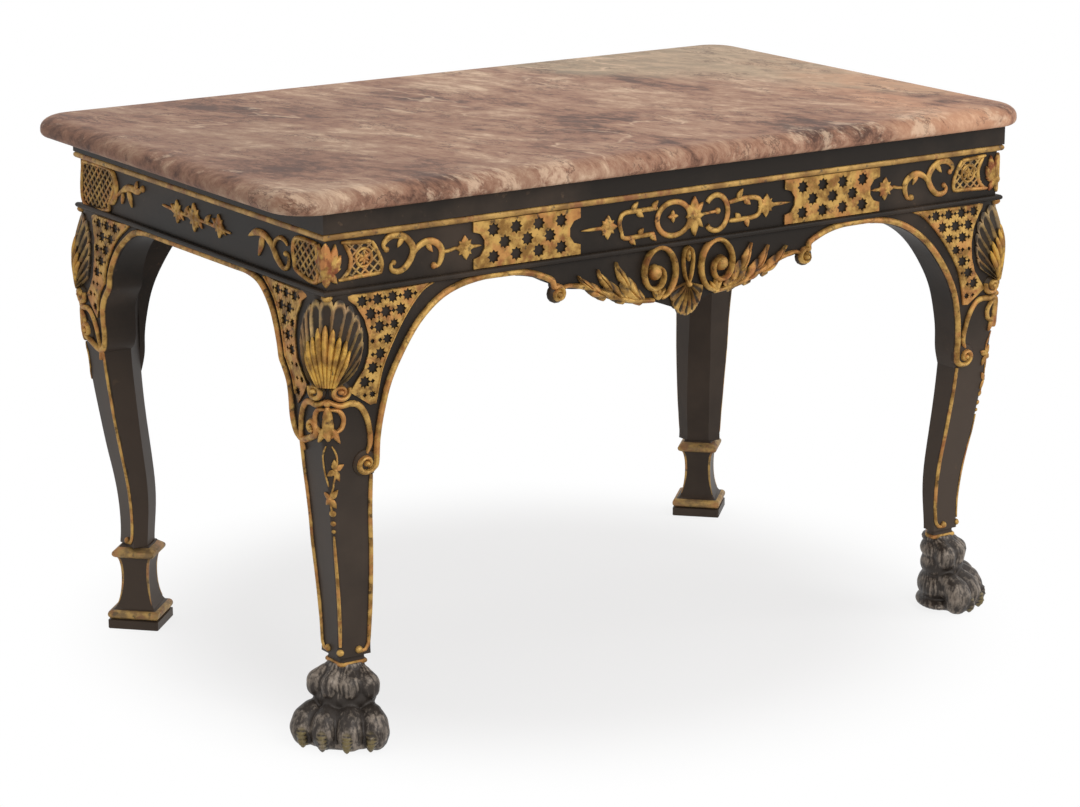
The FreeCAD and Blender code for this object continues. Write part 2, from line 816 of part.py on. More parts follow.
def make_apron_scroll(astragal):
    # the right-hand C-scroll: a flat oval spiral band that ends in a round eye
    centre_z = rail_bottom - scroll_centre_drop
    outer_side = []
    inner_side = []
    for i in range(scroll_steps + 1):
        t = i / scroll_steps
        angle = math.radians(scroll_start) - 2 * math.pi * scroll_turns * t
        centre_x = scroll_centre_out + scroll_eye_out * t ** 2
        for side, inset in ((outer_side, 0), (inner_side, scroll_band)):
            least = scroll_eye_radius - inset * (1 - t * 0.6)
            across = (scroll_half_width - scroll_eye_radius) * (1 - t ** 2) + least
            rise = (scroll_half_height - scroll_eye_radius) * (1 - t ** 2) + least
            side.append((centre_x + across * math.cos(angle), -half_depth, centre_z + rise * math.sin(angle)))
    ends = [
        Part.makeLine(Vector(*outer_side[0]), Vector(*inner_side[0])),
        Part.makeLine(Vector(*outer_side[-1]), Vector(*inner_side[-1])),
    ]
    band = Part.Face(outline([spline(outer_side), spline(inner_side)] + ends))
    band = band.extrude(Vector(0, -carving_height, 0))
    eye_place = Vector(scroll_centre_out + scroll_eye_out, -half_depth, centre_z)
    eye = Part.makeCylinder(scroll_eye_radius, scroll_eye_height, eye_place, Vector(0, -1, 0))
    return band.fuse(eye).cut(astragal)


def make_apron_leaf():
    points = [(run, -half_depth, rail_bottom - drop) for run, drop in leaf_outline]
    return Part.Face(polygon(points)).extrude(Vector(0, -leaf_height, 0))


def make_apron_ring(neighbours):
    # an upright oval ring between the two scrolls
    centre = Vector(carving_offset, -half_depth, rail_bottom - ring_drop)
    oval = []
    for grow in (0, -ring_band):
        curve = Part.Ellipse(centre, ring_height / 2 + grow, ring_width / 2 + grow)
        edge = curve.toShape()
        edge.rotate(centre, Vector(1, 0, 0), 90)
        edge.rotate(centre, Vector(0, 1, 0), 90)
        oval.append(Part.Face(Part.Wire(edge)))
    return oval[0].cut(oval[1]).extrude(Vector(0, -carving_height, 0)).cut(neighbours)


def make_star(x, z):
    points = []
    for i in range(2 * star_points):
        angle = math.pi * i / star_points
        radius = star_outer_radius if i % 2 == 0 else star_inner_radius
        points.append((x + radius * math.cos(angle), -half_depth, z + radius * math.sin(angle)))
    return Part.Face(polygon(points))


def make_trellis_panel():
    # a flat pierced panel with staggered rows of stars and a notch in each end
    low = frieze_bottom + trellis_margin
    high = bead_bottom - trellis_margin
    middle = (low + high) / 2
    half = trellis_length / 2
    notch = trellis_notch_height / 2
    floor = trellis_notch_floor / 2
    deep = half - trellis_notch_depth
    outline_points = [
        (-half, low), (half, low), (half, middle - notch), (deep, middle - floor), (deep, middle + floor),
        (half, middle + notch), (half, high), (-half, high), (-half, middle + notch), (-deep, middle + floor),
        (-deep, middle - floor), (-half, middle - notch),
    ]
    panel = Part.Face(polygon([(trellis_centre + x, -half_depth, z) for x, z in outline_points]))
    stars = []
    for row, count in star_rows:
        for i in range(count):
            x = trellis_centre + (i - (count - 1) / 2) * star_pitch
            stars.append(make_star(x, middle + row * star_row_gap))
    return panel.cut(stars).extrude(Vector(0, -trellis_thickness, 0))


# the whole table
os.makedirs("parts", exist_ok=True)

save("marble_top", make_slab())
for side in ("front", "back", "left", "right"):
    save("rail_" + side, make_rail(side))
    save("cornice_" + side, make_cornice(side))
bead_profile = nose_profile(bead_bottom, cornice_bottom, cornice_thickness)
astragal_profile = nose_profile(astragal_bottom, frieze_bottom, astragal_projection)
for side in ("front", "left", "right"):
    save("gilt_bead_" + side, run_moulding(bead_profile, side))
    save("astragal_" + side, run_moulding(astragal_profile, side))
bearer = make_bearer()
save("slab_bearer_right", bearer)
save("slab_bearer_left", bearer.mirror(origin, flip_x))

leg = make_leg()
shell = make_knee_shell(leg)
front_bracket = make_bracket("x", front_toe + front_arch)
side_bracket = make_bracket("y", side_toe + side_arch)
block = make_corner_block()
paw = make_paw()
collar = make_collar()
block_foot = make_block_foot()
for corner in corners:
    save("leg_" + corner, to_corner(leg, corner))
    save("knee_shell_" + corner, to_corner(shell, corner))
    rail_name = "front" if "front" in corner else "back"
    save("bracket_" + corner + "_on_" + rail_name, to_corner(front_bracket, corner))
    save("bracket_" + corner + "_on_side", to_corner(side_bracket, corner))
    save("corner_block_" + corner, to_corner(block, corner))
    if "front" in corner:
        save("paw_foot_" + corner.split("_")[1], to_corner(paw, corner))
        save("ankle_collar_" + corner.split("_")[1], to_corner(collar, corner))
    else:
        save("block_foot_" + corner.split("_")[1], to_corner(block_foot, corner))
dowel = make_dowel(0, foot_height)
save("foot_dowels", Part.makeCompound([to_corner(dowel, corner) for corner in corners]))
pegs = make_pegs(0)
save("tenon_pegs", Part.makeCompound(pegs.Solids + pegs.rotated(origin, Vector(0, 0, 1), 180).Solids))

apron = make_apron()
save("apron_front", apron)
astragal = run_moulding(astragal_profile, "front")
scroll = make_apron_scroll(astragal)
scroll_right = scroll.translated(Vector(carving_offset, 0, 0))
scroll_left = scroll.mirror(origin, flip_x).translated(Vector(carving_offset, 0, 0))
leaf = make_apron_leaf()
save("apron_scroll_right", scroll_right)
save("apron_scroll_left", scroll_left)
save("apron_leaf_right", leaf.cut(scroll_right))
save("apron_leaf_left", leaf.mirror(origin, flip_x).cut(scroll_left))
save("apron_ring", make_apron_ring([astragal, scroll_right, scroll_left]))
save("apron_shell", make_pendant_shell([apron, scroll_right, scroll_left]))

front_bead = make_front_bead(leg, front_bracket, apron.mirror(origin, flip_y))
save("arch_bead_front_right", to_corner(front_bead, "front_right"))
save("arch_bead_front_left", to_corner(front_bead, "front_left"))
side_bead = make_side_bead(leg, side_bracket)
save("arch_bead_right", side_bead)
save("arch_bead_left", side_bead.mirror(origin, flip_x))

trellis = make_trellis_panel()
save("trellis_panel_right", trellis)
save("trellis_panel_left", trellis.mirror(origin, flip_x))
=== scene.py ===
import bpy
import bmesh
from math import atan2, cos, dist, exp, hypot, pi, radians, sin, sqrt
from mathutils import Matrix, Vector, noise
from mathutils.geometry import delaunay_2d_cdt


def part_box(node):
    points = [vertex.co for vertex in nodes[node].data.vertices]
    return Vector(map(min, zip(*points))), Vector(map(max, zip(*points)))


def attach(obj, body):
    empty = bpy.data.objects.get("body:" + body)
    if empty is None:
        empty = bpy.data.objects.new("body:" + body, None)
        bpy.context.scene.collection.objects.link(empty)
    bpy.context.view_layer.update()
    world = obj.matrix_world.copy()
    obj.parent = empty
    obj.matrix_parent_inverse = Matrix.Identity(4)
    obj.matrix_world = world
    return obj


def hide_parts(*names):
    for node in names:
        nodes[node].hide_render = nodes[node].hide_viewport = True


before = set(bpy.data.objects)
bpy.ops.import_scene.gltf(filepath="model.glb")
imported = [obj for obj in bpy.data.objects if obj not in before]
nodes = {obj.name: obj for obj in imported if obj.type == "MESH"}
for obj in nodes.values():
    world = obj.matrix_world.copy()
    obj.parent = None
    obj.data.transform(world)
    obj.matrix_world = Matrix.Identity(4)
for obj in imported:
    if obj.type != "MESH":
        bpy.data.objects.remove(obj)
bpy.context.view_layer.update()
print("frame loaded:", len(nodes), "nodes")


# sizes taken from the frame, in millimetres
def measure(name):
    low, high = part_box(name)
    return [value * 1000 for value in low], [value * 1000 for value in high]


backLow, backHigh = measure("rail_back")
sideLow, sideHigh = measure("rail_right")
shiftX = (backLow[0] + backHigh[0]) / 2
shiftY = (sideLow[1] + sideHigh[1]) / 2
halfWidth = sideHigh[0] - shiftX
halfDepth = backHigh[1] - shiftY
railBottom = measure("rail_front")[0][2]
astragalBottom = measure("astragal_front")[0][2]
friezeBottom = measure("astragal_front")[1][2]
friezeTop = measure("gilt_bead_front")[0][2]
slabLow, slabHigh = measure("marble_top")
postWidth = halfWidth - measure("bracket_back_right_on_back")[1][0] + shiftX
footTop = measure("leg_back_left")[0][2]
innerX = halfWidth - postWidth
innerY = halfDepth - postWidth
sides = ((-1, "Left"), (1, "Right"))

leg = {
    "kneeCorner": 28.0,
    "shankCorner": 7.0,
    "fade": 150.0,
    # drop below the rail, outward bulge, return width, share of the knee's round corner
    "knee": [(0, 6, 64, 1.0), (36, 10, 66, 1.0), (68, 12, 62, 1.0), (108, 11, 56, 1.0),
             (165, 8, 47, 0.8), (223, 2, 42, 0.25)],
    # share of the way from the knee to the ankle, bulge, outer face width, return width
    "shank": [(0.24, -7, 64, 38), (0.45, -15, 61, 34), (0.63, -23, 57, 30), (0.80, -28, 53, 26),
              (0.91, -29, 50, 24), (1.00, -28, 50, 24)],
}
kneeFoot = railBottom - leg["knee"][-1][0]


def toScene(x, y, z):
    return Vector(((x + shiftX) / 1000, (y + shiftY) / 1000, z / 1000))


def legRows():
    # height, bulge, outer face, return and corner radius from the top down
    corner = leg["shankCorner"]
    knees = [(railBottom - drop, bulge, postWidth + bulge, inner, corner + share * (leg["kneeCorner"] - corner))
             for drop, bulge, inner, share in leg["knee"]]
    return knees + [(kneeFoot + share * (footTop - kneeFoot), bulge, outer, inner, corner)
                    for share, bulge, outer, inner in leg["shank"]]


legTable = legRows()


def between(rows, i, t, column):
    # a smooth value past row i by the share t of the way to the next
    a, b = rows[max(i - 1, 0)][column], rows[i][column]
    c, d = rows[i + 1][column], rows[min(i + 2, len(rows) - 1)][column]
    return 0.5 * (2 * b + (c - a) * t + (2 * a - 5 * b + 4 * c - d) * t * t + (3 * b - a - 3 * c + d) * t ** 3)


def legAt(z, column):
    # a smooth value of the leg's table at a height
    rows = legTable
    if z >= rows[0][0]:
        return rows[0][column]
    if z <= rows[-1][0]:
        return rows[-1][column]
    for i in range(len(rows) - 1):
        if rows[i][0] >= z >= rows[i + 1][0]:
            return between(rows, i, (rows[i][0] - z) / (rows[i][0] - rows[i + 1][0]), column)


# the table's faces: each takes a place on the face and a lift off it
def faceOut(outer, inner, run, z):
    if z > astragalBottom:
        return outer
    share = 1 - min(max(inner - abs(run), 0) / leg["fade"], 1)
    return outer + share * legAt(z, 1)


def longFace(side, reach):
    # a face across the front or the back; reach gives how far out it lies
    return lambda u, v, lift: toScene(u, side * (reach(u, v) + lift), v)


def endFace(side, reach):
    return lambda u, v, lift: toScene(side * (reach(u, v) + lift), u, v)


def sideFace(side):
    return endFace(side, lambda u, v: faceOut(halfWidth, innerY, u, v))


frontFace = longFace(-1, lambda u, v: faceOut(halfDepth, innerX, u, v))
apronFace = longFace(-1, lambda u, v: halfDepth)


def cornerFace(sideX, sideY, shape):
    # u runs round an outer corner from its arris, positive on to the long face; shape gives bulge and radius
    def face(u, v, lift):
        bulge, radius = shape(v)
        centreX = halfWidth + bulge - radius
        centreY = halfDepth + bulge - radius
        arc = radius * pi / 4
        if abs(u) <= arc:
            angle = pi / 4 + u / radius
            reach = radius + lift
            x, y = centreX + reach * cos(angle), centreY + reach * sin(angle)
        elif u > 0:
            x, y = centreX - (u - arc), centreY + radius + lift
        else:
            x, y = centreX + radius + lift, centreY - (-u - arc)
        return toScene(sideX * x, sideY * y, v)
    return face


def raised(face, more):
    return lambda u, v, lift: face(u, v, lift + more)


# shader helpers
def operator(operation, flipped=False):
    return lambda wire, other: wire.sum(operation, other, flipped)


class Wire:
    # a socket that takes part in sums
    def __init__(self, sheet, socket):
        self.sheet = sheet
        self.socket = socket

    def sum(self, operation, other, flipped=False):
        pair = (other, self) if flipped else (self, other)
        return self.sheet.add("Math", {"operation": operation}, {0: pair[0], 1: pair[1]})

    __add__, __radd__ = operator("ADD"), operator("ADD", True)
    __sub__, __rsub__ = operator("SUBTRACT"), operator("SUBTRACT", True)
    __mul__, __rmul__ = operator("MULTIPLY"), operator("MULTIPLY", True)

    def __abs__(self):
        return self.sum("ABSOLUTE", 0.0)


class Finish:
    # one material, or the world, with the nodes that draw it; coats build up its colour
    def __init__(self, name, look=None, owner=None):
        self.owner = owner or bpy.data.materials.new(name)
        self.owner.use_nodes = True
        self.tree = self.owner.node_tree
        self.tree.nodes.clear()
        self.look = look

    def add(self, kind, settings=None, values=None, out=0):
        node = self.tree.nodes.new("ShaderNode" + kind)
        for key, value in (settings or {}).items():
            if key == "stops":
                ramp = node.color_ramp
                while len(ramp.elements) < len(value):
                    ramp.elements.new(1.0)
                for element, (place, colour) in zip(ramp.elements, value):
                    element.position = place
                    element.color = (*colour, 1.0)
            else:
                setattr(node, key, value)
        for key, value in (values or {}).items():
            if isinstance(value, Wire):
                self.tree.links.new(value.socket, node.inputs[key])
            else:
                node.inputs[key].default_value = value
        return Wire(self, node.outputs[out]) if node.outputs else None

    def spot(self):
        return self.add("TexCoord", out=3)

    def axis(self, index):
        return self.add("SeparateXYZ", {}, {0: self.spot()}, index)

    def place(self, scale=(1, 1, 1), turn=(0, 0, 0)):
        return self.add("Mapping", {}, {"Vector": self.spot(), "Scale": scale, "Rotation": turn})

    def noise(self, where, scale, detail=4.0, rough=0.55, warp=0.0, out=0):
        return self.add("TexNoise", {}, {"Vector": where, "Scale": scale, "Detail": detail,
                                         "Roughness": rough, "Distortion": warp}, out)

    def mark(self, name):
        return self.add("Attribute", {"attribute_name": name}, out=2)

    def band(self, value, low, high, start=0.0, end=1.0):
        return self.add("MapRange", {"interpolation_type": "SMOOTHSTEP"},
                        {0: value, 1: low, 2: high, 3: start, 4: end})

    def blend(self, amount, one, two):
        # each colour is a name from the look or a wire
        one, two = ((*self.look[c], 1.0) if isinstance(c, str) else c for c in (one, two))
        return self.add("Mix", {"data_type": "RGBA"}, {0: amount, 6: one, 7: two}, 2)

    def coat(self, amount, tint, ground=None):
        self.colour = self.blend(amount, ground or self.colour, tint)

    def ramp(self, value, *stops):
        self.colour = self.add("ValToRGB", {"stops": [(at, self.look[name]) for at, name in stops]}, {0: value})

    def shade(self, settings, *bumps):
        # each bump is its height, distance and strength
        for height, distance, strength in bumps:
            values = {"Height": height, "Distance": distance, "Strength": strength}
            if "Normal" in settings:
                values["Normal"] = settings["Normal"]
            settings["Normal"] = self.add("Bump", {}, values)
        surface = self.add("BsdfPrincipled", {}, {"Base Color": self.colour, **settings})
        self.add("OutputMaterial", {}, {"Surface": surface})
        return self.owner


marbleLook = {
    "rose": (0.31, 0.158, 0.10),
    "dark": (0.095, 0.046, 0.032),
    "light": (0.455, 0.283, 0.188),
    "cream": (0.72, 0.52, 0.365),
    "green": (0.365, 0.28, 0.185),
    "beige": (0.52, 0.38, 0.255),
    "orange": (0.60, 0.29, 0.16),
    "lay": 1.2,
    "stretch": (1.0, 2.0, 1.5),
    "swirl": (0.17, 0.17, 0.17),
}


def veinedMarble():
    stone = Finish("veinedMarble", marbleLook)
    turned = stone.place(turn=(0, 0, marbleLook["lay"]))
    where = stone.add("VectorMath", {"operation": "MULTIPLY"}, {0: turned, 1: marbleLook["stretch"]})
    bent = stone.add("VectorMath", {"operation": "MULTIPLY_ADD"},
                     {0: stone.noise(where, 2.4, out=1), 1: marbleLook["swirl"], 2: where})
    cloud = stone.noise(bent, 3.4, 8, 0.62)
    fine = stone.noise(bent, 19, 10, 0.76)
    broad = stone.noise(turned, 2.6)
    sway = broad - 0.5
    stone.ramp(cloud * 0.47 + fine * 0.53, (0.40, "dark"), (0.475, "rose"), (0.55, "light"), (0.63, "cream"))
    along, deep = stone.axis(0), stone.axis(1)
    stone.coat(stone.band(along * -1.0 + sway * 1.6, -0.1, 0.8) * 0.32, "dark")
    # a calmer beige and green part at the back right, an orange part at the right end
    cool = stone.band(along * 0.8 + deep * 0.5 + sway * 0.5, 0.30, 0.42)
    stone.coat(cool * 0.8, stone.blend(stone.band(fine, 0.40, 0.60), "green", "beige"))
    warm = stone.band(along - deep * 0.45 + sway * 0.8, 0.42, 0.62)
    stone.coat(warm * stone.band(cloud, 0.42, 0.56) * 0.5, "orange")
    # pale patches along the front and the ends
    rim = stone.band(deep * -1.0, 0.30, 0.385) + stone.band(abs(along), 0.57, 0.64)
    patch = stone.band(stone.noise(bent, 9, 8, 0.72), 0.52, 0.62)
    stone.coat(stone.band(rim, 0.0, 1.0) * patch * 0.6, "cream")
    thread = abs(stone.noise(bent, 7.0, 9, 0.70) - 0.49)
    vein = stone.band(thread, 0.02, 0.0) * stone.band(stone.noise(where, 6), 0.40, 0.58)
    stone.coat(vein * 0.75, "dark")
    pale = abs(stone.noise(where, 2.1, 5, 0.5, 0.3) - 0.52)
    stone.coat(stone.band(pale, 0.007, 0.0) * stone.band(broad, 0.45, 0.6) * 0.6, "cream")
    return stone.shade({"Roughness": 0.46 + fine * 0.2, "Specular IOR Level": 0.18},
                       (vein, 0.0004, 0.3), (fine, 0.0003, 0.15))


blackLook = {"black": (0.0155, 0.0112, 0.0080), "worn": (0.048, 0.033, 0.023), "rub": (0.11, 0.068, 0.04),
             "leg": (0.062, 0.044, 0.032)}


def ebonisedWood():
    wood = Finish("ebonisedWood", blackLook)
    where = wood.place()
    grain = wood.noise(wood.place((3, 3, 26), (0, 0, 0.3)), 7, 6, 0.6)
    patch = wood.noise(where, 5, 5, 0.6)
    spots = wood.band(wood.noise(where, 60, 4, 0.6), 0.63, 0.72)
    wood.coat(wood.band(patch, 0.42, 0.75), "worn", "black")
    # a lighter brown in patches towards the bottom, over the legs
    wood.coat(wood.band(wood.axis(2), 0.56, 0.34) * wood.band(patch, 0.25, 0.6, 0.5, 1.0), "leg")
    wood.coat(spots * wood.band(patch, 0.5, 0.62) * 0.5, "rub")
    return wood.shade({"Roughness": 0.36 + patch * 0.2, "Specular IOR Level": 0.17},
                      (grain, 0.0004, 0.25), (patch, 0.002, 0.08))


# grime is one near-black used both for rubbed dirt and for painted shade in the hollows of the carving
giltLook = {"gold": (0.225, 0.112, 0.026), "bright": (0.56, 0.34, 0.095), "yellow": (0.60, 0.355, 0.072),
            "orange": (0.50, 0.215, 0.07), "bole": (0.225, 0.072, 0.028), "pewter": (0.225, 0.18, 0.112),
            "grime": (0.016, 0.011, 0.008)}


def wornGilding(name="wornGilding", wear=0.15, red=0.6, bright="bright"):
    # wear is how much more of the gold has gone, red how much of the red ground shows
    gilt = Finish(name, giltLook)
    where = gilt.place()
    cloud = gilt.noise(where, 52, 5, 0.62)
    grain = gilt.noise(where, 190, 4, 0.6)
    bare = gilt.noise(where, 42, 5, 0.6)
    gilt.coat(gilt.band(cloud, 0.36, 0.62), bright, "gold")
    gilt.coat(gilt.band(gilt.noise(where, 31), 0.50, 0.60) * red, "orange")
    gilt.coat(gilt.band(bare, 0.62 - red * 0.12, 0.72 - red * 0.08) * red, "bole")
    rub = gilt.band(gilt.noise(where, 88, 5, 0.65), 0.60 - wear * 0.16, 0.70 - wear * 0.12)
    gilt.coat(rub * 0.75, "grime")
    gilt.coat(gilt.mark("tarnish") * gilt.band(cloud, 0.7, 0.3, 0.55, 1.0), "pewter")
    # hollow is where the relief mark is low, at the foot of each carved form and in its creases; it darkens the
    # gilding there, partly as grime and partly as painted shade, and takes away its metal
    hollow = gilt.band(gilt.mark("relief") + (cloud - 0.5) * 0.6 + (grain - 0.5) * 0.3, 0.62, 0.16)
    gilt.coat(hollow * 0.95, "grime")
    return gilt.shade({"Metallic": (0.4 - rub * 0.3) * (1 - hollow), "Roughness": 0.42 + grain * 0.2,
                       "Specular IOR Level": 0.25}, (cloud, 0.0010, 0.3), (grain, 0.0004, 0.3))


def giltMouldingFinish():
    # for the plain gilt mouldings of the frame, which carry no relief marks
    gilt = Finish("giltMoulding", giltLook)
    where = gilt.place()
    cloud = gilt.noise(where, 22, 6, 0.62)
    gilt.coat(gilt.band(cloud, 0.36, 0.66), "bright", "gold")
    gilt.coat(gilt.band(gilt.noise(gilt.place((1, 1, 0.5)), 34, 6, 0.66), 0.52, 0.64) * 0.7, "bole")
    rub = gilt.band(gilt.noise(where, 80, 5, 0.65), 0.56, 0.68)
    gilt.coat(rub * 0.7, "grime")
    return gilt.shade({"Metallic": 0.4 - rub * 0.3, "Roughness": 0.44 + cloud * 0.15}, (cloud, 0.0010, 0.3))


pawLook = {"base": (0.034, 0.026, 0.021), "crest": (0.31, 0.255, 0.205), "green": (0.17, 0.13, 0.052)}


def bronzedPaw():
    paw = Finish("bronzedPaw", pawLook)
    cloud = paw.noise(paw.place(), 30, 6, 0.65)
    hair = paw.noise(paw.place((1, 1, 0.14)), 170, 4, 0.6)
    crest = paw.mark("relief")
    # the relief mark lightens the crests and darkens the hollows, and it carries the painted shade at the waist
    # above the toes
    paw.coat(paw.band(crest + (cloud - 0.5) * 1.8 + (hair - 0.5) * 1.3, 0.38, 1.0) * 0.9, "crest", "base")
    paw.coat(paw.mark("claw") * paw.band(crest, 0.30, 0.60) * paw.band(cloud, 0.35, 0.55), "green")
    return paw.shade({"Metallic": 0.2, "Roughness": 0.36 + cloud * 0.2, "Specular IOR Level": 0.35},
                     (hair, 0.0014, 0.6), (cloud, 0.002, 0.25))


sawnLook = {"dark": (0.17, 0.10, 0.055), "light": (0.33, 0.21, 0.12)}


def sawnWood():
    wood = Finish("sawnWood", sawnLook)
    grain = wood.noise(wood.place((30, 3, 30)), 5, 7, 0.65, 0.4)
    wood.ramp(grain, (0.35, "dark"), (0.65, "light"))
    return wood.shade({"Roughness": 0.75}, (grain, 0.001, 0.4))


marble = veinedMarble()
ebony = ebonisedWood()
gilding = wornGilding()
brownGilding = wornGilding("brownGilding", 0.35, 0.8)
redGilding = wornGilding("redGilding", 0.2, 1.0)
yellowGilding = wornGilding("yellowGilding", 0.0, 0.3, "yellow")
giltMoulding = giltMouldingFinish()
pawBronze = bronzedPaw()
rawWood = sawnWood()
print("finishes made")


def put(name, data):
    # a new object in the scene
    thing = bpy.data.objects.new(name, data)
    bpy.context.scene.collection.objects.link(thing)
    return thing


def finishPiece(name, mesh, finish, marks, stands=(), smooth=35):
    # marks are levels for each point, which the finish reads
    for title, values in marks.items():
        mesh.attributes.new(title, "FLOAT", "POINT").data.foreach_set("value", values)
    work = bmesh.new()
    work.from_mesh(mesh)
    bmesh.ops.recalc_face_normals(work, faces=work.faces)
    for side in work.faces:
        side.smooth = True
    for edge in work.edges:
        edge.smooth = len(edge.link_faces) == 2 and edge.calc_face_angle(0) < radians(smooth)
    work.to_mesh(mesh)
    work.free()
    mesh.materials.append(finish)
    piece = put(name, mesh)
    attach(piece, "root")
    if stands:
        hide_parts(*stands)


class Carving:
    # gathers carved solids that share one finish into one mesh
    def __init__(self):
        self.points, self.faces, self.relief, self.tarnish = [], [], [], []

    def rings(self, rings, relief, tarnish=0.0, cap=True):
        # a skin over rings of points; relief is one level, or a list of levels for each ring. Low levels come out
        # dark in the gilding, partly as grime and partly as painted shade
        first, size = len(self.points), len(rings[0])
        levels = relief if isinstance(relief, list) else [[relief] * size] * len(rings)
        for ring, marks in zip(rings, levels):
            self.points += ring
            self.relief += marks
            self.tarnish += [tarnish] * size
        for i in range(first, first + (len(rings) - 1) * size, size):
            for k in range(size):
                a, b = i + k, i + (k + 1) % size
                self.faces.append((a, b, b + size, a + size))
        if cap:
            end = len(self.points)
            self.faces += [tuple(range(first + size - 1, first - 1, -1)), tuple(range(end - size, end))]

    def plate(self, top, bottom, cells, rim, relief):
        # a flat piece given by its top points, bottom points, triangles and rim edges
        first, size = len(self.points), len(top)
        self.points += top + bottom
        self.relief += relief + [0.0] * size
        self.tarnish += [0.0] * size * 2
        for a, b, c in cells:
            self.faces.append((first + a, first + b, first + c))
            self.faces.append((first + size + c, first + size + b, first + size + a))
        for a, b in rim:
            self.faces.append((first + a, first + size + a, first + size + b, first + b))

    def make(self, name, finish, stands=(), smooth=35):
        mesh = bpy.data.meshes.new(name)
        mesh.from_pydata(self.points, [], self.faces)
        finishPiece(name, mesh, finish, {"relief": self.relief, "tarnish": self.tarnish}, stands, smooth)


def arc(centreU, centreV, reachU, reachV, start, sweep, steps):
    # points along an oval, with its angles in degrees
    angles = [radians(start + sweep * i / steps) for i in range(steps + 1)]
    return [(centreU + reachU * cos(angle), centreV + reachV * sin(angle)) for angle in angles]


def extent(loop):
    us, vs = zip(*loop)
    return min(us), max(us), min(vs), max(vs)


def heading(line, i):
    # the way a line runs at one of its points
    before, after = line[max(i - 1, 0)], line[min(i + 1, len(line) - 1)]
    along = Vector((after[0] - before[0], after[1] - before[1]))
    return along.normalized() if along.length > 1e-6 else Vector((1, 0))


def smoothPath(keys, step=2.0):
    # a smooth line through the keys; each key may carry a width and a height after its place
    line = []
    for i in range(len(keys) - 1):
        count = max(int(dist(keys[i][:2], keys[i + 1][:2]) / step), 1)
        for k in range(count):
            line.append(tuple(between(keys, i, k / count, column) for column in range(len(keys[0]))))
    line.append(tuple(keys[-1]))
    return line


def curl(centreU, centreV, start, finish, angle, turns):
    # points of a spiral from one radius to another
    points = []
    count = max(int(abs(turns) * 12), 3)
    for i in range(count + 1):
        t = i / count
        radius = start + (finish - start) * t ** 0.8
        at = radians(angle) + 2 * pi * turns * t
        points.append((centreU + radius * cos(at), centreV + radius * sin(at)))
    return points


def aside(points, distance):
    # a line moved sideways, to the right of its run
    moved = []
    for i, point in enumerate(points):
        before, after = points[max(i - 1, 0)], points[min(i + 1, len(points) - 1)]
        du, dv = after[0] - before[0], after[1] - before[1]
        size = hypot(du, dv) or 1
        moved.append((point[0] + dv / size * distance, point[1] - du / size * distance))
    return moved


def insideOf(point, loop):
    x, y = point
    hit = False
    for (x0, y0), (x1, y1) in zip(loop, loop[1:] + loop[:1]):
        if (y0 > y) != (y1 > y) and x < (x1 - x0) * (y - y0) / (y1 - y0) + x0:
            hit = not hit
    return hit


def rimDistance(point, loop):
    best = 1e9
    p = Vector(point)
    for a, b in zip(loop, loop[1:] + loop[:1]):
        a, b = Vector(a), Vector(b)
        t = max(0, min(1, (p - a).dot(b - a) / max((b - a).length_squared, 1e-9)))
        best = min(best, (p - a - (b - a) * t).length)
    return best


def star(u, v, outer, inner, points=8):
    loop = []
    for i in range(points * 2):
        angle = pi * i / points
        radius = inner if i % 2 else outer
        loop.append((u + radius * cos(angle), v + radius * sin(angle)))
    return loop


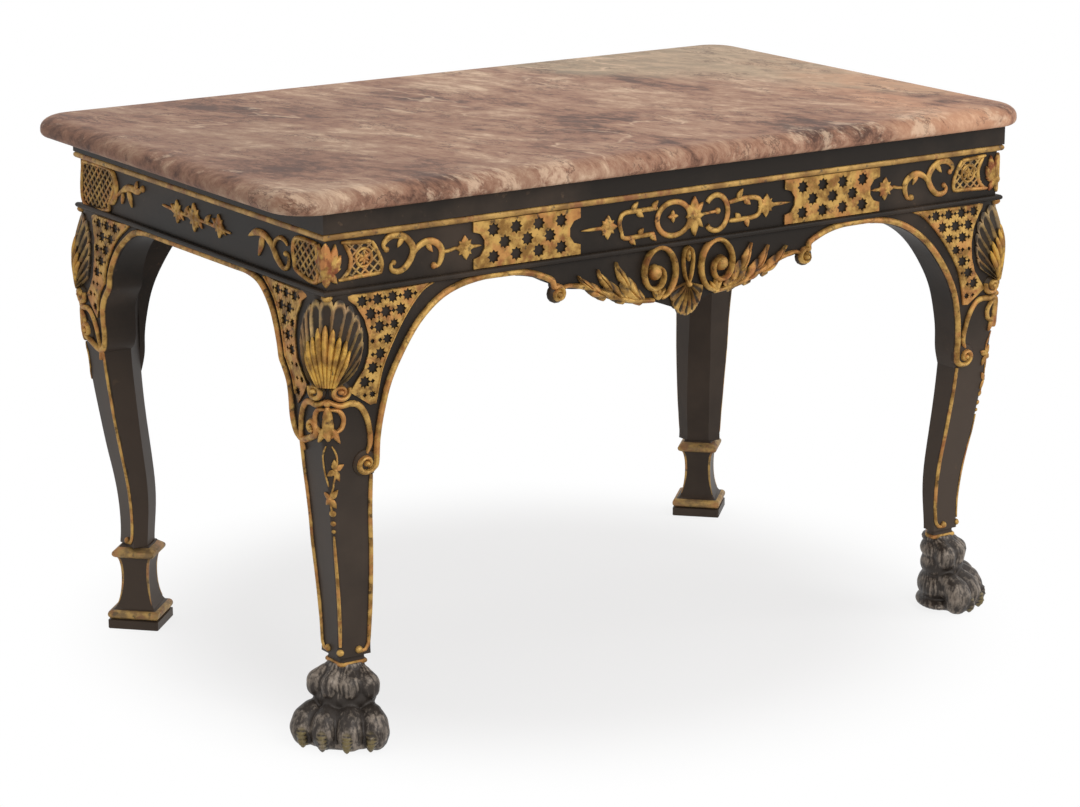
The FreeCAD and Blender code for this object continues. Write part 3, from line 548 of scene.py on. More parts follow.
class Pen:
    # draws carved forms on one face; mirror and middle place them along it
    seat = 1.2  # how far a form is let into the face

    def __init__(self, carving, face, mirror=1, middle=0.0):
        self.carving, self.face, self.mirror, self.middle = carving, face, mirror, middle

    def halves(self):
        # the same pen for the left and for the right of its middle
        return [Pen(self.carving, self.face, side, self.middle) for side in (-1, 1)]

    def spot(self, u, v, lift):
        return self.face(self.middle + self.mirror * u, v, lift)

    def line(self, keys, wide, high=2.8, taper=0.5, sink=seat, step=2.0, tarnish=0.0):
        # a half-round moulding; taper is the share of the width left at both ends, and keys with no width or
        # height of their own take the line's
        size = max(len(key) for key in keys)
        line = smoothPath([(*key, *(wide, high)[len(key) - 2:size - 2]) for key in keys], step)
        last, rings = len(line) - 1, []
        bow = [(cos(pi * k / 6), sin(pi * k / 6)) for k in range(7)]
        for i, (u, v, *size) in enumerate(line):
            along = heading(line, i)
            away = min(i, last - i) / max(last, 1)
            full = taper + (1 - taper) * min(away / 0.18, 1) ** 0.6
            half = (size[0] if size else wide) / 2 * full
            tall = (size[1] if len(size) > 1 else high) * (0.4 + 0.6 * full)
            section = [(half * x, tall * y) for x, y in bow] + [(-half, -sink), (half, -sink)]
            rings.append([self.spot(u - along.y * x, v + along.x * x, lift) for x, lift in section])
        # the top of the bead gets high levels, its flanks and foot low ones, where the gilding paints shade
        levels = [0.0] + [0.3 + 0.7 * y for x, y in bow[1:-1]] + [0.0] * 3
        self.carving.rings(rings, [levels] * len(rings), tarnish)

    def dot(self, u, v, wide, high, sink=seat, tall=None, around=14, steps=5, level=1.0):
        # a domed oval
        rings, relief = [], []
        turns = [2 * pi * k / around for k in range(around)]
        for i in range(steps + 2):
            at = pi / 2 * max(i - 1, 0) / steps
            share = max(cos(at), 0.04)
            lift = high * sin(at) if i else -sink
            reachU, reachV = wide / 2 * share, (tall or wide) / 2 * share
            rings.append([self.spot(u + reachU * cos(turn), v + reachV * sin(turn), lift) for turn in turns])
            # the dome's sides get lower levels than its top, where the gilding paints shade
            relief.append([level * (0.3 + 0.7 * sin(at))] * around)
        self.carving.rings(rings, relief)

    def leaf(self, start, end, wide, high=3.0, bend=0.0):
        # a pointed leaf, fullest a third of the way along
        (u, v), du, dv = start, end[0] - start[0], end[1] - start[1]
        keys = []
        for t, share in ((0.0, 0.4), (0.3, 1.0), (0.65, 0.8), (1.0, 0.12)):
            sway = sin(pi * t) * bend
            keys.append((u + du * t - dv * sway, v + dv * t + du * sway, wide * share))
        self.line(keys, wide, high)

    def pierced(self, outline, holes, high, grid):
        # a thin plate with holes that follows the face
        def solid(point):
            return insideOf(point, outline) and not any(insideOf(point, hole) for hole in holes)

        points, edges = [], []
        for loop in [outline] + holes:
            first, size = len(points), len(loop)
            points += [Vector(p) for p in loop]
            edges += [(first + i, first + (i + 1) % size) for i in range(size)]
        lowU, highU, lowV, highV = extent(outline)
        v = lowV + grid / 2
        while v < highV:
            u = lowU + grid / 2
            while u < highU:
                if solid((u, v)) and min(rimDistance((u, v), loop) for loop in [outline] + holes) > grid * 0.4:
                    points.append(Vector((u, v)))
                u += grid
            v += grid
        flat, rim, cells, *rest = delaunay_2d_cdt(points, edges, [], 0, 1e-5)
        cells = [cell for cell in cells if solid(sum((flat[i] for i in cell), Vector((0, 0))) / len(cell))]
        edges = {(a, b): True for cell in cells for a, b in zip(cell, cell[1:] + cell[:1])}
        rim = [(a, b) for a, b in edges if (b, a) not in edges]
        order = sorted({i for cell in cells for i in cell})
        place = {old: new for new, old in enumerate(order)}
        onRim = {i for pair in rim for i in pair}
        # the rim points get a lower level, so the gilding paints shade along the plate's edges and round its
        # holes
        self.carving.plate(
            [self.spot(*flat[i], high) for i in order], [self.spot(*flat[i], -self.seat) for i in order],
            [[place[i] for i in cell] for cell in cells], [(place[a], place[b]) for a, b in rim],
            [0.55 if i in onRim else 1.0 for i in order])

    def bud(self, u, v, size, dart=0.0, high=3.2):
        # a four-petalled bud with a dart that runs on from it
        self.leaf((u, v - 2), (u + 1, v + size), size * 0.85, high)
        self.leaf((u, v + 2), (u - 1, v - size), size * 0.85, high)
        self.leaf((u + 2, v), (u - size * 0.85, v), size * 0.75, high)
        self.leaf((u - 2, v), (u + size * 0.95, v), size * 0.75, high)
        for du, dv in ((-0.55, -0.6), (-0.55, 0.6), (0.6, -0.55), (0.6, 0.55)):
            self.leaf((u, v), (u + size * du, v + size * dv), size * 0.5, high * 0.8)
        if dart:
            self.line([(u + size * 0.3, v, size * 0.36), (u + dart * 0.6, v, size * 0.30), (u + dart, v, 1.5)],
                      4, high * 0.8)
        self.dot(u, v, size * 0.5, high + 1.2)


view = {"azimuth": -34.016, "elevation": 14.831, "distance": 5.0892, "aim": (-2.4, 0.0, 340.0), "lens": 110.0}
azimuth, elevation = radians(view["azimuth"]), radians(view["elevation"])
back = Vector((sin(azimuth) * cos(elevation), -cos(azimuth) * cos(elevation), sin(elevation)))
right = Vector((cos(azimuth), sin(azimuth), 0))
up = back.cross(right)
camera = put("camera", bpy.data.cameras.new("camera"))
camera.data.lens = view["lens"]
camera.data.clip_end = 60
camera.matrix_world = Matrix.Translation(toScene(*view["aim"]) + back * view["distance"]) @ Matrix(
    (right, up, back)).transposed().to_4x4()
bpy.context.scene.camera = camera

lamps = {
    "keyLamp": {"at": (-0.7, -4.3, 3.2), "size": 2.6, "power": 92},
    "fillLamp": {"at": (3.4, -2.6, 2.2), "size": 2.6, "power": 42},
    "topLamp": {"at": (0.3, 0.6, 4.2), "size": 3.2, "power": 34},
}
for name, lamp in lamps.items():
    light = bpy.data.lights.new(name, "AREA")
    light.energy, light.size = lamp["power"], lamp["size"]
    holder = put(name, light)
    holder.location = lamp["at"]
    holder.rotation_euler = (Vector((0, 0, 0.4)) - Vector(lamp["at"])).to_track_quat("-Z", "Y").to_euler()

# the eye, mirrors and clear things see white, all else a soft light
air = {"soft": (1.0, 0.985, 0.965, 1), "strength": 0.52, "paper": (0.86, 0.86, 0.865, 1),
       "glow": (0.42, 0.78, 0.64, 1.0)}
room = Finish("room", owner=bpy.data.worlds.new("studio"))
bpy.context.scene.world = room.owner
seen = room.add("LightPath")
for kind in (6, 3):  # clear things and mirrors
    seen = seen.sum("MAXIMUM", room.add("LightPath", out=kind))
soft = room.add("Background", {}, {"Color": air["soft"], "Strength": air["strength"]})
white = room.add("Background", {}, {"Color": (1, 1, 1, 1), "Strength": 1.0})
room.add("OutputWorld", {}, {"Surface": room.add("MixShader", {}, {0: seen, 1: soft, 2: white})})

# paper that glows more and more away from the table
studio = Finish("studioFloor")
paper = studio.add("BsdfDiffuse", {}, {"Color": air["paper"]})
glow = studio.add("Emission", {}, {"Color": (1, 1, 1, 1), "Strength": 1.0})
eye = studio.add("LightPath").sum("MAXIMUM", studio.add("LightPath", out=3))
ground = studio.add("VectorMath", {"operation": "LENGTH"}, {0: studio.spot()}, 1)
studio.add("OutputMaterial", {}, {"Surface": studio.add(
    "MixShader", {}, {0: eye * studio.band(ground, *air["glow"]), 1: paper, 2: glow})})
bpy.ops.mesh.primitive_plane_add(size=24, location=(0, 0, -0.0005))
floor = bpy.context.object
floor.name = "floor"
floor.data.materials.append(studio.owner)
bpy.context.scene.view_settings.view_transform = "Standard"
print("camera, lamps and floor set")


def dress(name):
    if name.startswith("gilt_bead"):
        return giltMoulding
    if name.startswith(("slab_bearer", "foot_dowels", "tenon_pegs", "corner_block")):
        return rawWood
    return ebony


for name, node in nodes.items():
    for place in node.material_slots:
        place.material = dress(name)


slab = {"cornerRadius": 60.0, "topRoundWide": 28.0, "topRoundHigh": 18.0, "bottomRound": 8.5,
        "cornerSteps": 16, "edgeSteps": 8}


def roundedLoop(inset):
    # the slab's plan, moved in by inset
    corner = slab["cornerRadius"]
    lowX, lowY = slabLow[0] + corner, slabLow[1] + corner
    highX, highY = slabHigh[0] - corner, slabHigh[1] - corner
    loop = []
    for x, y, start in ((highX, highY, 0), (lowX, highY, 90), (lowX, lowY, 180), (highX, lowY, 270)):
        loop += arc(x, y, corner - inset, corner - inset, start, 90, slab["cornerSteps"])
    return loop


def makeSlab():
    wide, high, low = slab["topRoundWide"], slab["topRoundHigh"], slab["bottomRound"]
    levels = arc(low, slabLow[2] + low, low, low, -90, -90, slab["edgeSteps"])
    levels += arc(wide, slabHigh[2] - high, wide, high, 180, -90, slab["edgeSteps"])
    carving = Carving()
    rings = [[Vector((x / 1000, y / 1000, z / 1000)) for x, y in roundedLoop(inset)] for inset, z in levels]
    carving.rings(rings, 1.0)
    carving.make("marbleSlab", marble, ["marble_top"])


makeSlab()
print("slab made")


frieze = {
    "trellisCentre": 270.0,
    "trellisLength": 178.0,
    "trellisLift": 3.2,
    "notchDepth": 18.0,
    "notchHeight": 40.0,
    "starPitch": 37.5,
    "starRow": 19.0,
    "starOuter": 10.4,
    "starInner": 7.2,
    "scroll": 10.5,
    "frameBar": 6.5,
    "latticeBar": 3.4,
    "latticeSlope": 0.95,
    "height": 4.0,
}


def lattice(pen, outline, pitch, high):
    # crossing slanted bars that fill an outline, each cut to the run that lies inside it
    wide, slope = frieze["latticeBar"], frieze["latticeSlope"]
    lowU, highU, lowV, highV = extent(outline)
    reach = (highU - lowU) * slope
    for way in (-1, 1):
        level = lowV - reach
        while level < highV + reach:
            start = last = None
            for k in range(121):
                u = lowU + (highU - lowU) * k / 120
                v = level + way * (u - lowU) * slope
                if insideOf((u, v), outline):
                    start, last = start or (u, v), (u, v)
                if start and (k == 120 or last != (u, v)):
                    if dist(start, last) > 6:
                        pen.line([start, last], wide, high, 1, 1.0, 8, 0.4)
                    start = None
            level += pitch


def friezeHalf(pen):
    # one half of the long frieze, from the corner to the trellis panel
    bar, scroll, high = frieze["frameBar"], frieze["scroll"], frieze["height"]
    panel = [(569, 726), (522, 724), (511, 706), (505, 691), (504, 675), (573, 672), (562, 684),
             (554, 701), (561, 718)]
    lattice(pen, panel, 13, 2.4)
    for tip in arc(533, 701, 9.5, 9.5, 30, 300, 5):
        pen.leaf((533, 701), tip, 6.5, 4)
    for keys in ([(568, 725), (545, 723), (521, 722)], [(520, 722), (511, 706), (505, 691), (506, 677)],
                 [(573, 674), (540, 676), (505, 677)],
                 [(563, 722), (558, 715), (553, 702), (556, 686), (563, 678)]):
        pen.line(keys, bar, high)
    pen.line(arc(533, 701, 12.5, 12.5, 0, 360, 12), 4.6, 3.6, 1)
    pen.line([(496, 705, 6), (502, 714, 8), (492, 724), (477, 725), (463, 717),
              (455, 704), (458, 692), (467, 680, 10), (478, 675, 9), (489, 678, 8), (490, 686, 6),
              (485, 689, 5.5)], scroll, high, 0.7)
    pen.dot(497, 707, 8.5, 4.2)
    pen.dot(486, 688, 8, 4.2)
    pen.line([(460, 690, 6), (447, 705, 9), (433, 711), (419, 708), (410, 698),
              (410, 686, 9), (415, 676, 7.5), (422, 674, 6)], scroll, high, 0.6)
    pen.dot(422, 676, 10, 5)
    pen.leaf((434, 710), (424, 695), 9)
    pen.leaf((470, 722), (480, 708), 9)
    pen.line([(409, 693), (396, 694), (385, 697)], 5.2, 3.2)
    pen.bud(371, 695, 17, -26)


def friezeCentre(pen):
    # rings, brackets and buds either side of the middle palmette
    high = frieze["height"]
    pen.line(arc(-18.5, 694.5, 29, 24.5, 0, 360, 18), 8.6, high, 1)
    pen.line(arc(57, 694.5, 21, 26, -140, 280, 18), 8.6, high, 1)
    for du, dv in ((9, 0), (-9, 0), (0, 9), (0, -9)):
        pen.leaf((-20, 698), (-20 + du, 698 + dv), 7.5, 4)
    pen.line([(24, 695), (44, 696), (60, 697)], 4.6)
    pen.dot(60, 697, 10, 4)
    for end, wide in (((18, 723), 17), ((18, 665), 16), ((5, 713), 12), ((32, 713), 12),
                      ((4, 676), 12), ((32, 677), 12), ((3, 694), 12), ((34, 695), 12)):
        pen.leaf((18, 694), end, wide, 5)
    pen.dot(18, 694, 15, 6.5)
    for keys in ([(-109, 684), (-113, 696), (-112, 704), (-105, 712), (-80, 713), (-48, 713)],
                 [(-109, 684), (-105, 676), (-80, 676), (-53, 677)],
                 [(80, 707), (100, 710), (122, 710), (135, 706), (137, 696)],
                 [(80, 680), (100, 680), (126, 681), (135, 686), (137, 696)]):
        pen.line(keys, 7.4, high, 0.7)
    for start, end in (((-92, 713), (-82, 726)), ((-84, 713), (-72, 703)), ((-95, 676), (-86, 664)),
                       ((-80, 677), (-72, 687)), ((95, 710), (104, 725)), ((112, 681), (114, 667)),
                       ((108, 709), (118, 700)), ((100, 681), (92, 690)), ((-56, 713), (-47, 724)),
                       ((-58, 677), (-50, 666))):
        pen.leaf(start, end, 10, 4)
    pen.bud(-133, 695, 17, -46)
    pen.bud(148, 695, 17, 44)


def trellisPlate(pen):
    low, high = friezeBottom + 1, friezeTop - 1
    middle = (low + high) / 2
    half = frieze["trellisLength"] / 2
    deep, tall = frieze["notchDepth"], frieze["notchHeight"] / 2
    end = [(half - deep * inward, middle + tall * up + trim) for inward, up, trim in
           ((0, -1, 1), (0.62, -0.78, 0), (1, -0.3, 0), (1, 0.3, 0), (0.62, 0.78, 0), (0, 1, -1))]
    loop = [(half, low)] + end + [(half, high), (-half, high)]
    loop += [(-u, v) for u, v in reversed(end)] + [(-half, low)]
    centre = frieze["trellisCentre"]
    holes = []
    for row, count in ((1, 4), (0, 3), (-1, 4)):
        for i in range(count):
            u = centre + (i - (count - 1) / 2) * frieze["starPitch"]
            holes.append(star(u, middle + row * frieze["starRow"], frieze["starOuter"], frieze["starInner"]))
    pen.pierced([(centre + u, v) for u, v in loop], holes, frieze["trellisLift"], 6.0)


def sideFrieze(pen):
    # carving of a short frieze: end panels, scrolls and three sprigs; u runs from the front to the back
    bar, scroll, high = frieze["frameBar"], frieze["scroll"] + 1, frieze["height"] + 0.8
    for panel in ([(352, 727), (262, 727), (249, 709), (258, 690), (268, 676), (274, 664), (352, 664)],
                  [(-342, 722), (-290, 722), (-279, 706), (-282, 690), (-290, 676), (-342, 671)]):
        lattice(pen, panel, 14, 2.6)
        pen.line(panel + panel[:1], bar, high, 1)
    pen.line([(262, 727, 7), (252, 722), (243, 707), (246, 692), (257, 680),
              (268, 676, 6)], scroll, high, 0.6)
    pen.line([(243, 691, 5), (228, 700, 7), (210, 708), (192, 710), (176, 709),
              (160, 715, 5)], scroll, high, 0.5)
    pen.leaf((206, 706), (194, 682), 14, 4)
    pen.leaf((222, 700), (226, 682), 11, 4)
    pen.leaf((182, 709), (176, 724), 11, 4)
    pen.dot(160, 715, 11, 5)
    pen.line([(99, 702), (60, 700), (20, 699), (-40, 698), (-103, 695)], 5.6, 3.2)
    for u, size in ((53, 17), (2, 21), (-71, 17)):
        pen.bud(u, 700, size, 0, 4)
        pen.leaf((u - size * 0.5, 700), (u - size * 1.1, 700 - size * 0.6), size * 0.4, 3.4)
        pen.leaf((u + size * 0.5, 700), (u + size * 1.1, 700 + size * 0.5), size * 0.4, 3.4)
    pen.leaf((30, 700), (18, 714), 10, 4)
    pen.leaf((-30, 699), (-46, 712), 10, 4)
    pen.line([(-158, 702, 5), (-172, 709), (-186, 711), (-204, 709), (-222, 698),
              (-235, 683), (-253, 673, 8), (-266, 680, 7), (-266, 693, 5.5), (-257, 696, 4.5)], scroll,
              high, 0.6)
    pen.dot(-257, 694, 8, 4)
    pen.leaf((-196, 710), (-184, 678), 14, 4)
    pen.line([(-226, 696, 4), (-232, 708, 6), (-244, 714, 7), (-258, 712, 6), (-264, 706, 4)], 6, high, 0.5)


def cornerLeaf(pen):
    # a palmette that folds round the frieze's corner
    for half in pen.halves():
        half.leaf((3, 686), (13, 724), 17, 5.5, -0.05)
        half.leaf((5, 686), (21, 708), 15, 5, -0.08)
        half.leaf((4, 687), (21, 690), 12, 4.4)
        half.leaf((3, 686), (15, 670), 12, 4.4)
    pen.leaf((0, 684), (0, 727), 16, 6.5)
    pen.leaf((0, 688), (0, 666), 13, 5)
    pen.dot(0, 686, 17, 7.5)


frontCarving = Carving()
for side, word in sides:
    pen = Pen(frontCarving, frontFace, side)
    friezeHalf(pen)
    trellisPlate(pen)
    palmette, sideCarving = Carving(), Carving()
    cornerLeaf(Pen(palmette, cornerFace(side, -1, lambda v: (0.0, 3.0))))
    palmette.make("cornerPalmette" + word, redGilding)
    sideFrieze(Pen(sideCarving, sideFace(side)))
    sideCarving.make("friezeCarving" + word, gilding)
friezeCentre(Pen(frontCarving, frontFace))
frontCarving.make("friezeCarvingFront", gilding, ["trellis_panel_left", "trellis_panel_right"])
print("frieze carved")


knee = {
    "ribs": 13,
    "halfWidth": 55.0,
    "halfHeight": 62.0,
    "centre": 590.0,
    "root": 524.0,
    "spread": 125.0,
    "relief": 10.0,
    "sharp": 3.2,
    "lip": 0.6,
    "fan": [(-31, 578), (-26, 592), (-17, 599), (-9, 612), (0, 616), (9, 611), (17, 600), (26, 594), (31, 580)],
    "starPitch": 24.5,
    "starRow": 18.5,
    "starOuter": 9.8,
    "starInner": 6.2,
    "link": 3.8,
    "starStart": (18.0, 11.0),
    "starRoom": 1.6,
    "starLeast": 0.36,
    "fieldLift": 2.8,
    "fieldGrid": 7.0,
}


def kneeShape(v):
    return legAt(v, 1), legAt(v, 4)


def scallop(pen, look, flip=1, tarnish=0.75):
    # a shell with sunk flutes between thin ridges and a raised scalloped rim
    root, centre, ribs = look["root"], look["centre"], look["ribs"]
    around, steps = ribs * 10, 18
    rings, relief = [], []
    for i in range(around + 1):
        t = i / around
        turn = radians(look["spread"]) * (2 * t - 1)
        phase = ribs * t % 1
        arch = sin(pi * phase)
        ridge = (1 - arch) ** look["sharp"]
        rimU = look["halfWidth"] * sin(turn)
        rimV = centre + flip * look["halfHeight"] * cos(turn) - root
        grow = 0.92 + 0.08 * arch ** 0.6
        column, under, mark = [], [], []
        for k in range(steps + 1):
            r = 0.06 + 0.94 * k / steps
            dome = sin(pi * min(r * 0.80 + 0.10, 1)) ** 0.6
            lip = exp(-((r - 0.965) / 0.03) ** 2)
            lift = look["relief"] * (dome * (0.30 + 0.70 * ridge) + 0.32 * lip * (1 - ridge))
            column.append(pen.spot(rimU * r * grow, root + rimV * r * grow, lift))
            under.append(pen.spot(rimU * r * grow, root + rimV * r * grow, -2.0))
            mark.append(min(1.0, ridge ** 0.6 * (0.5 + 0.5 * r) + look["lip"] * lip + (0.6 if r < 0.2 else 0)))
        rings.append(column + list(reversed(under)))
        relief.append(mark + [0.0] * len(under))
    pen.carving.rings(rings, relief, tarnish)


def kneeFan(pen):
    # the yellow fan that rises over the shell's root
    for u, v in knee["fan"]:
        pen.line([(u * (0.30 + 0.55 * t + 0.10 * t * t), 531 + (v - 531) * t, w, h) for t, w, h in
                  ((0.0, 4, 4), (0.3, 5.4, 6), (0.7, 7.6, 7), (0.92, 6, 5), (1.0, 2, 3))], 8, 6, 0.9, 4)


def kneeOrnament(pen, sprigs):
    # small volutes, strap, husk, ribbons and sprigs under the shell
    pen.dot(0, 652, 15, 11, 3, 12)
    sizes = [(8.5, 8)] * 6 + [(7.5, 9)] * 5 + [(6, 10)] * 10
    spiral = [(*spot, *size) for spot, size in zip(curl(17, 524, 13.5, 4, 20, -1.25), sizes)]
    for half in pen.halves():
        half.dot(17, 524, 32, 5, 3, level=0.1)
        half.line(spiral, 7.5, 8, 0.8, 3)
        half.dot(17, 524, 9, 11, 3)
        half.line([(1, 511, 7), (16, 504, 9), (33, 505, 9.5), (46, 500, 9.5), (56, 484, 9), (61, 464, 8.5),
                   (62, 444, 8), (56, 430, 6)], 9, 6, 0.8, 3)
        half.line([(3, 499, 5), (14, 497, 7), (20.5, 486, 7.5), (18, 473, 7), (9, 466, 6), (3, 459, 5)],
                  6, 6, 0.7, 3)
        half.leaf((4, 474), (14, 451), 10, 6)
        half.line([(4, 447), (10, 432), (9, 412), (5, 397), (3, 388)], 3.0, 2.2, 0.6)
    pen.dot(0, 508, 11, 8, 3)
    pen.line([(0, 503, 8), (0, 488, 14), (0, 472, 16), (0, 455, 7)], 14, 8, 0.6, 3)
    if not sprigs:
        return
    for u, v, tips in ((7, 412, ((6, 428), (20, 419), (12, 395), (-4, 404))),
                       (-2, 370, ((-12, 378), (9, 383), (5, 356), (-9, 360)))):
        for tip in tips:
            pen.leaf((u, v), tip, 9.5, 3.4)
        pen.dot(u, v, 7, 4)
    pen.line([(4, 390), (1, 380), (-2, 370), (-1, 356), (0, 346)], 3.0, 2.0, 0.6)
    for v, size in ((348, 10), (333, 8), (321, 6)):
        pen.dot(0, v, size, 3)
    pen.line([(0, 314, 3.4), (0, 290, 4.4), (0, 240, 5), (0, 190, 5.4), (0, 146, 5.4)], 5, 2.6, 0.7, step=6)
    pen.dot(0, 138, 10, 4.5)


def starField(outline):
    # staggered star holes that shrink near the outline, with small holes between them
    pitch, row, link = knee["starPitch"], knee["starRow"], (knee["link"], 4)
    outer, inner = knee["starOuter"], knee["starInner"]
    left, right, bottom, top = extent(outline)
    holes = []
    for j in range(12):
        for i in range(-1, 12):
            u = left + knee["starStart"][0] + i * pitch + (j % 2) * pitch / 2
            v = top - knee["starStart"][1] - j * row
            for spot, (reach, points) in (((u, v), (outer, 8)), ((u + pitch / 2, v), link), ((u, v - row), link)):
                size = min(reach, rimDistance(spot, outline) - knee["starRoom"])
                if insideOf(spot, outline) and size > reach * knee["starLeast"]:
                    holes.append(star(*spot, size, size * inner / outer, points))
    return holes


def kneeField(pen, outer, inner):
    # pierced trellis between the arch bead and the shell, with a thin raised rim
    pen.pierced(outer + inner, starField(outer + inner), knee["fieldLift"], knee["fieldGrid"])
    pen.line(outer, 3.4, 4.4, 1)


arch = {
    # from the leg's inner edge: distance along the rail, drop below the rail
    "front": [(4, 236), (8, 221), (9, 196), (14, 161), (25, 121), (46, 82), (72, 48), (104, 22), (136, 8),
              (176, 0.8)],
    "side": [(-30, 203), (-14, 206), (2, 202), (12, 191), (17, 172), (17, 142), (21, 124), (34, 106), (41, 97),
             (46, 76), (57, 52), (74, 30), (105, 8), (140, 0.8), (185, 0.4), (240, 0.4), (296, 0.4)],
    # from the middle of the front
    "tail": [(312, 0.4), (288, 1.2), (267, 5), (249, 11), (231, 20)],
    "beadWide": 10.0,
    "beadHigh": 7.0,
    "frontVolute": (536.0, 416.0, 16.5),
    "sideVolute": (338.0, 470.0, 12.5),
    "ball": (220.0, 611.0, 12.0),
    "fieldGap": 20.0,
}


def archLine(name, inner):
    return [(inner - run, railBottom - drop) for run, drop in arch[name]]


def volute(pen, centreU, centreV, radius, angle, tall):
    # the dark drum, its gilt spiral and the eye; gives the spiral's keys from the eye outwards
    pen.dot(centreU, centreV, 2 * radius + 6, tall * 0.62, 5, steps=6, around=24, level=0.12)
    keys = [(u, v, 10 - 4.5 * i / 14, tall + 2.5 * i / 14)
            for i, (u, v) in enumerate(curl(centreU, centreV, radius, 4.5, angle, 1.2))]
    pen.dot(centreU, centreV, 10, tall + 4, 5)
    return keys[::-1]


def beadKeys(points):
    return aside(points, arch["beadWide"] / 2 + 0.5)


def frontBead(pen):
    centreU, centreV, radius = arch["frontVolute"]
    keys = volute(pen, centreU, centreV, radius, 180, 9)
    keys += beadKeys(archLine("front", innerX) + [(u, railBottom - drop) for u, drop in arch["tail"]])[2:]
    ballU, ballV, ballRadius = arch["ball"]
    end = curl(ballU, ballV, ballRadius, 4.5, 60, 1.15)
    keys += [(u, v, 9 - 4 * i / 13, 9 + 3 * i / 13) for i, (u, v) in enumerate(end)]
    pen.line(keys, arch["beadWide"], arch["beadHigh"], 1, 4)
    pen.dot(ballU, ballV, 2 * ballRadius + 4, 6, 4, level=0.3)
    pen.dot(ballU, ballV, 11, 14, 4)


def sideBead(pen):
    centreU, centreV, radius = arch["sideVolute"]
    keys = volute(pen, centreU, centreV, radius, 270, 8)
    keys += beadKeys(archLine("side", innerY))[1:]
    pen.line(keys, arch["beadWide"], arch["beadHigh"], 1, 4)


def legLines(pen, outer, start):
    # the bead down the inside edge of a leg's outer face, with its curl at the ankle
    keys = []
    for z in (start, 350, 300, 250, 205, 172, 152):
        edge = outer + legAt(z, 1) - legAt(z, 2)
        keys.append((edge + 3.7, z))
    for du, z in ((5.5, 143), (10, 137), (17, 136)):
        keys.append((edge + du, z))
    pen.line(keys, 7.2, 3.8, 0.8, 2, step=4)
    pen.dot(edge + 20, 138.5, 11, 5.5)


def kneeCap(sideX, sideY):
    # the dark strip that carries the knee's bulge up to the astragal
    bulge, radius = kneeShape(railBottom)
    plan = [(x, faceOut(halfDepth, innerX, x, railBottom))
            for x in range(int(innerX) - 150, int(halfWidth) - 22, 12)]
    plan += arc(halfWidth + bulge - radius, halfDepth + bulge - radius, radius, radius, 90, -90, 8)
    plan += [(faceOut(halfWidth, innerY, y, railBottom), y)
             for y in range(int(halfDepth) - 24, int(innerY) - 150, -12)]
    low, high = railBottom - 1, astragalBottom + 0.5
    rings = []
    for x, y in plan:
        inX, inY = x - 0.04 * (x - innerX + 60), y - 0.04 * (y - innerY + 60)
        rings.append([toScene(sideX * a, sideY * b, z) for a, b, z in
                      ((x, y, low), (x, y, high), (inX, inY, high), (inX, inY, low))])
    strip = Carving()
    strip.rings(rings, 0.0)
    return strip


frontField = [(425, 654), (441, 647), (459, 631), (477, 610), (491, 590), (503, 570), (513, 548), (519, 525),
              (524, 500)]
frontFieldInside = [(532, 499), (548, 510), (564, 521), (554, 535), (542, 551), (535, 572), (534, 595),
                    (539, 618),
                    (551, 638), (569, 654)]
sideFieldInside = [(302, 496), (318, 512), (330, 528), (318, 541), (305, 560), (300, 590), (302, 618), (312, 640),
                   (330, 654)]
for place, sideY, (sideX, side) in [(place, y, end) for place, y in (("Front", -1),
                                                                     ("Back", 1)) for end in sides]:
    word, node = place + side, "knee_shell_" + place.lower() + "_" + side.lower()
    wrap = cornerFace(sideX, sideY, kneeShape)
    shell = Carving()
    scallop(Pen(shell, wrap), knee)
    shell.make("kneeShell" + word, gilding, [node])
    fan = Carving()
    kneeFan(Pen(fan, raised(wrap, 6)))
    fan.make("kneeFan" + word, yellowGilding)
    trim = Carving()
    kneeOrnament(Pen(trim, wrap), sideY < 0)
    if sideY < 0:
        kneeField(Pen(trim, frontFace, sideX), frontField, frontFieldInside)
    sideOuter = aside(archLine("side", innerY)[5:13], arch["fieldGap"])[::-1]
    sideOuter = [(u, min(v, 654)) for u, v in sideOuter]
    kneeField(Pen(trim, sideFace(sideX), sideY), sideOuter, sideFieldInside)
    legLines(Pen(trim, longFace(sideY, lambda u, v: halfDepth + legAt(v, 1)), sideX), halfWidth, 398)
    legLines(Pen(trim, endFace(sideX, lambda u, v: halfWidth + legAt(v, 1)), sideY), halfDepth, 452)
    trim.make("kneeCarving" + word, gilding)
    kneeCap(sideX, sideY).make("kneeCap" + word, ebony)
for side, word in sides:
    bead = Carving()
    frontBead(Pen(bead, frontFace, side))
    bead.make("archBeadFront" + word, gilding, ["arch_bead_front_" + word.lower()])
    bead = Carving()
    for half in Pen(bead, sideFace(side)).halves():
        sideBead(half)
    bead.make("archBead" + word, gilding, ["arch_bead_" + word.lower()])
print("knees and arch beads carved")


apron = {
    "middle": 6.0,
    "scrollOut": 52.0,
    "scrollDrop": 25.0,
    "eye": (60.0, 25.0),
    "lobes": [
        [(74, 64, 8), (88, 54, 12), (100, 40, 12), (110, 25, 8), (117, 12, 4.5), (120, 2, 1.2)],
        [(104, 58, 8), (119, 50, 11), (131, 39, 10), (141, 27, 6.5), (148, 17, 3.5), (151, 9, 1.2)],
        [(138, 49, 8), (152, 42, 9), (164, 34, 8), (174, 26, 5), (181, 19, 3), (185, 14, 1.2)],
    ],
    "border": [(54, 66), (80, 63), (104, 58), (124, 51), (148, 41), (174, 31), (200, 26), (209, 28)],
}
pendant = {"ribs": 7, "halfWidth": 31.0, "halfHeight": 48.0, "centre": railBottom - 48, "root": railBottom - 46,
           "spread": 82.0, "relief": 10.0, "sharp": 1.1, "lip": 0.5}


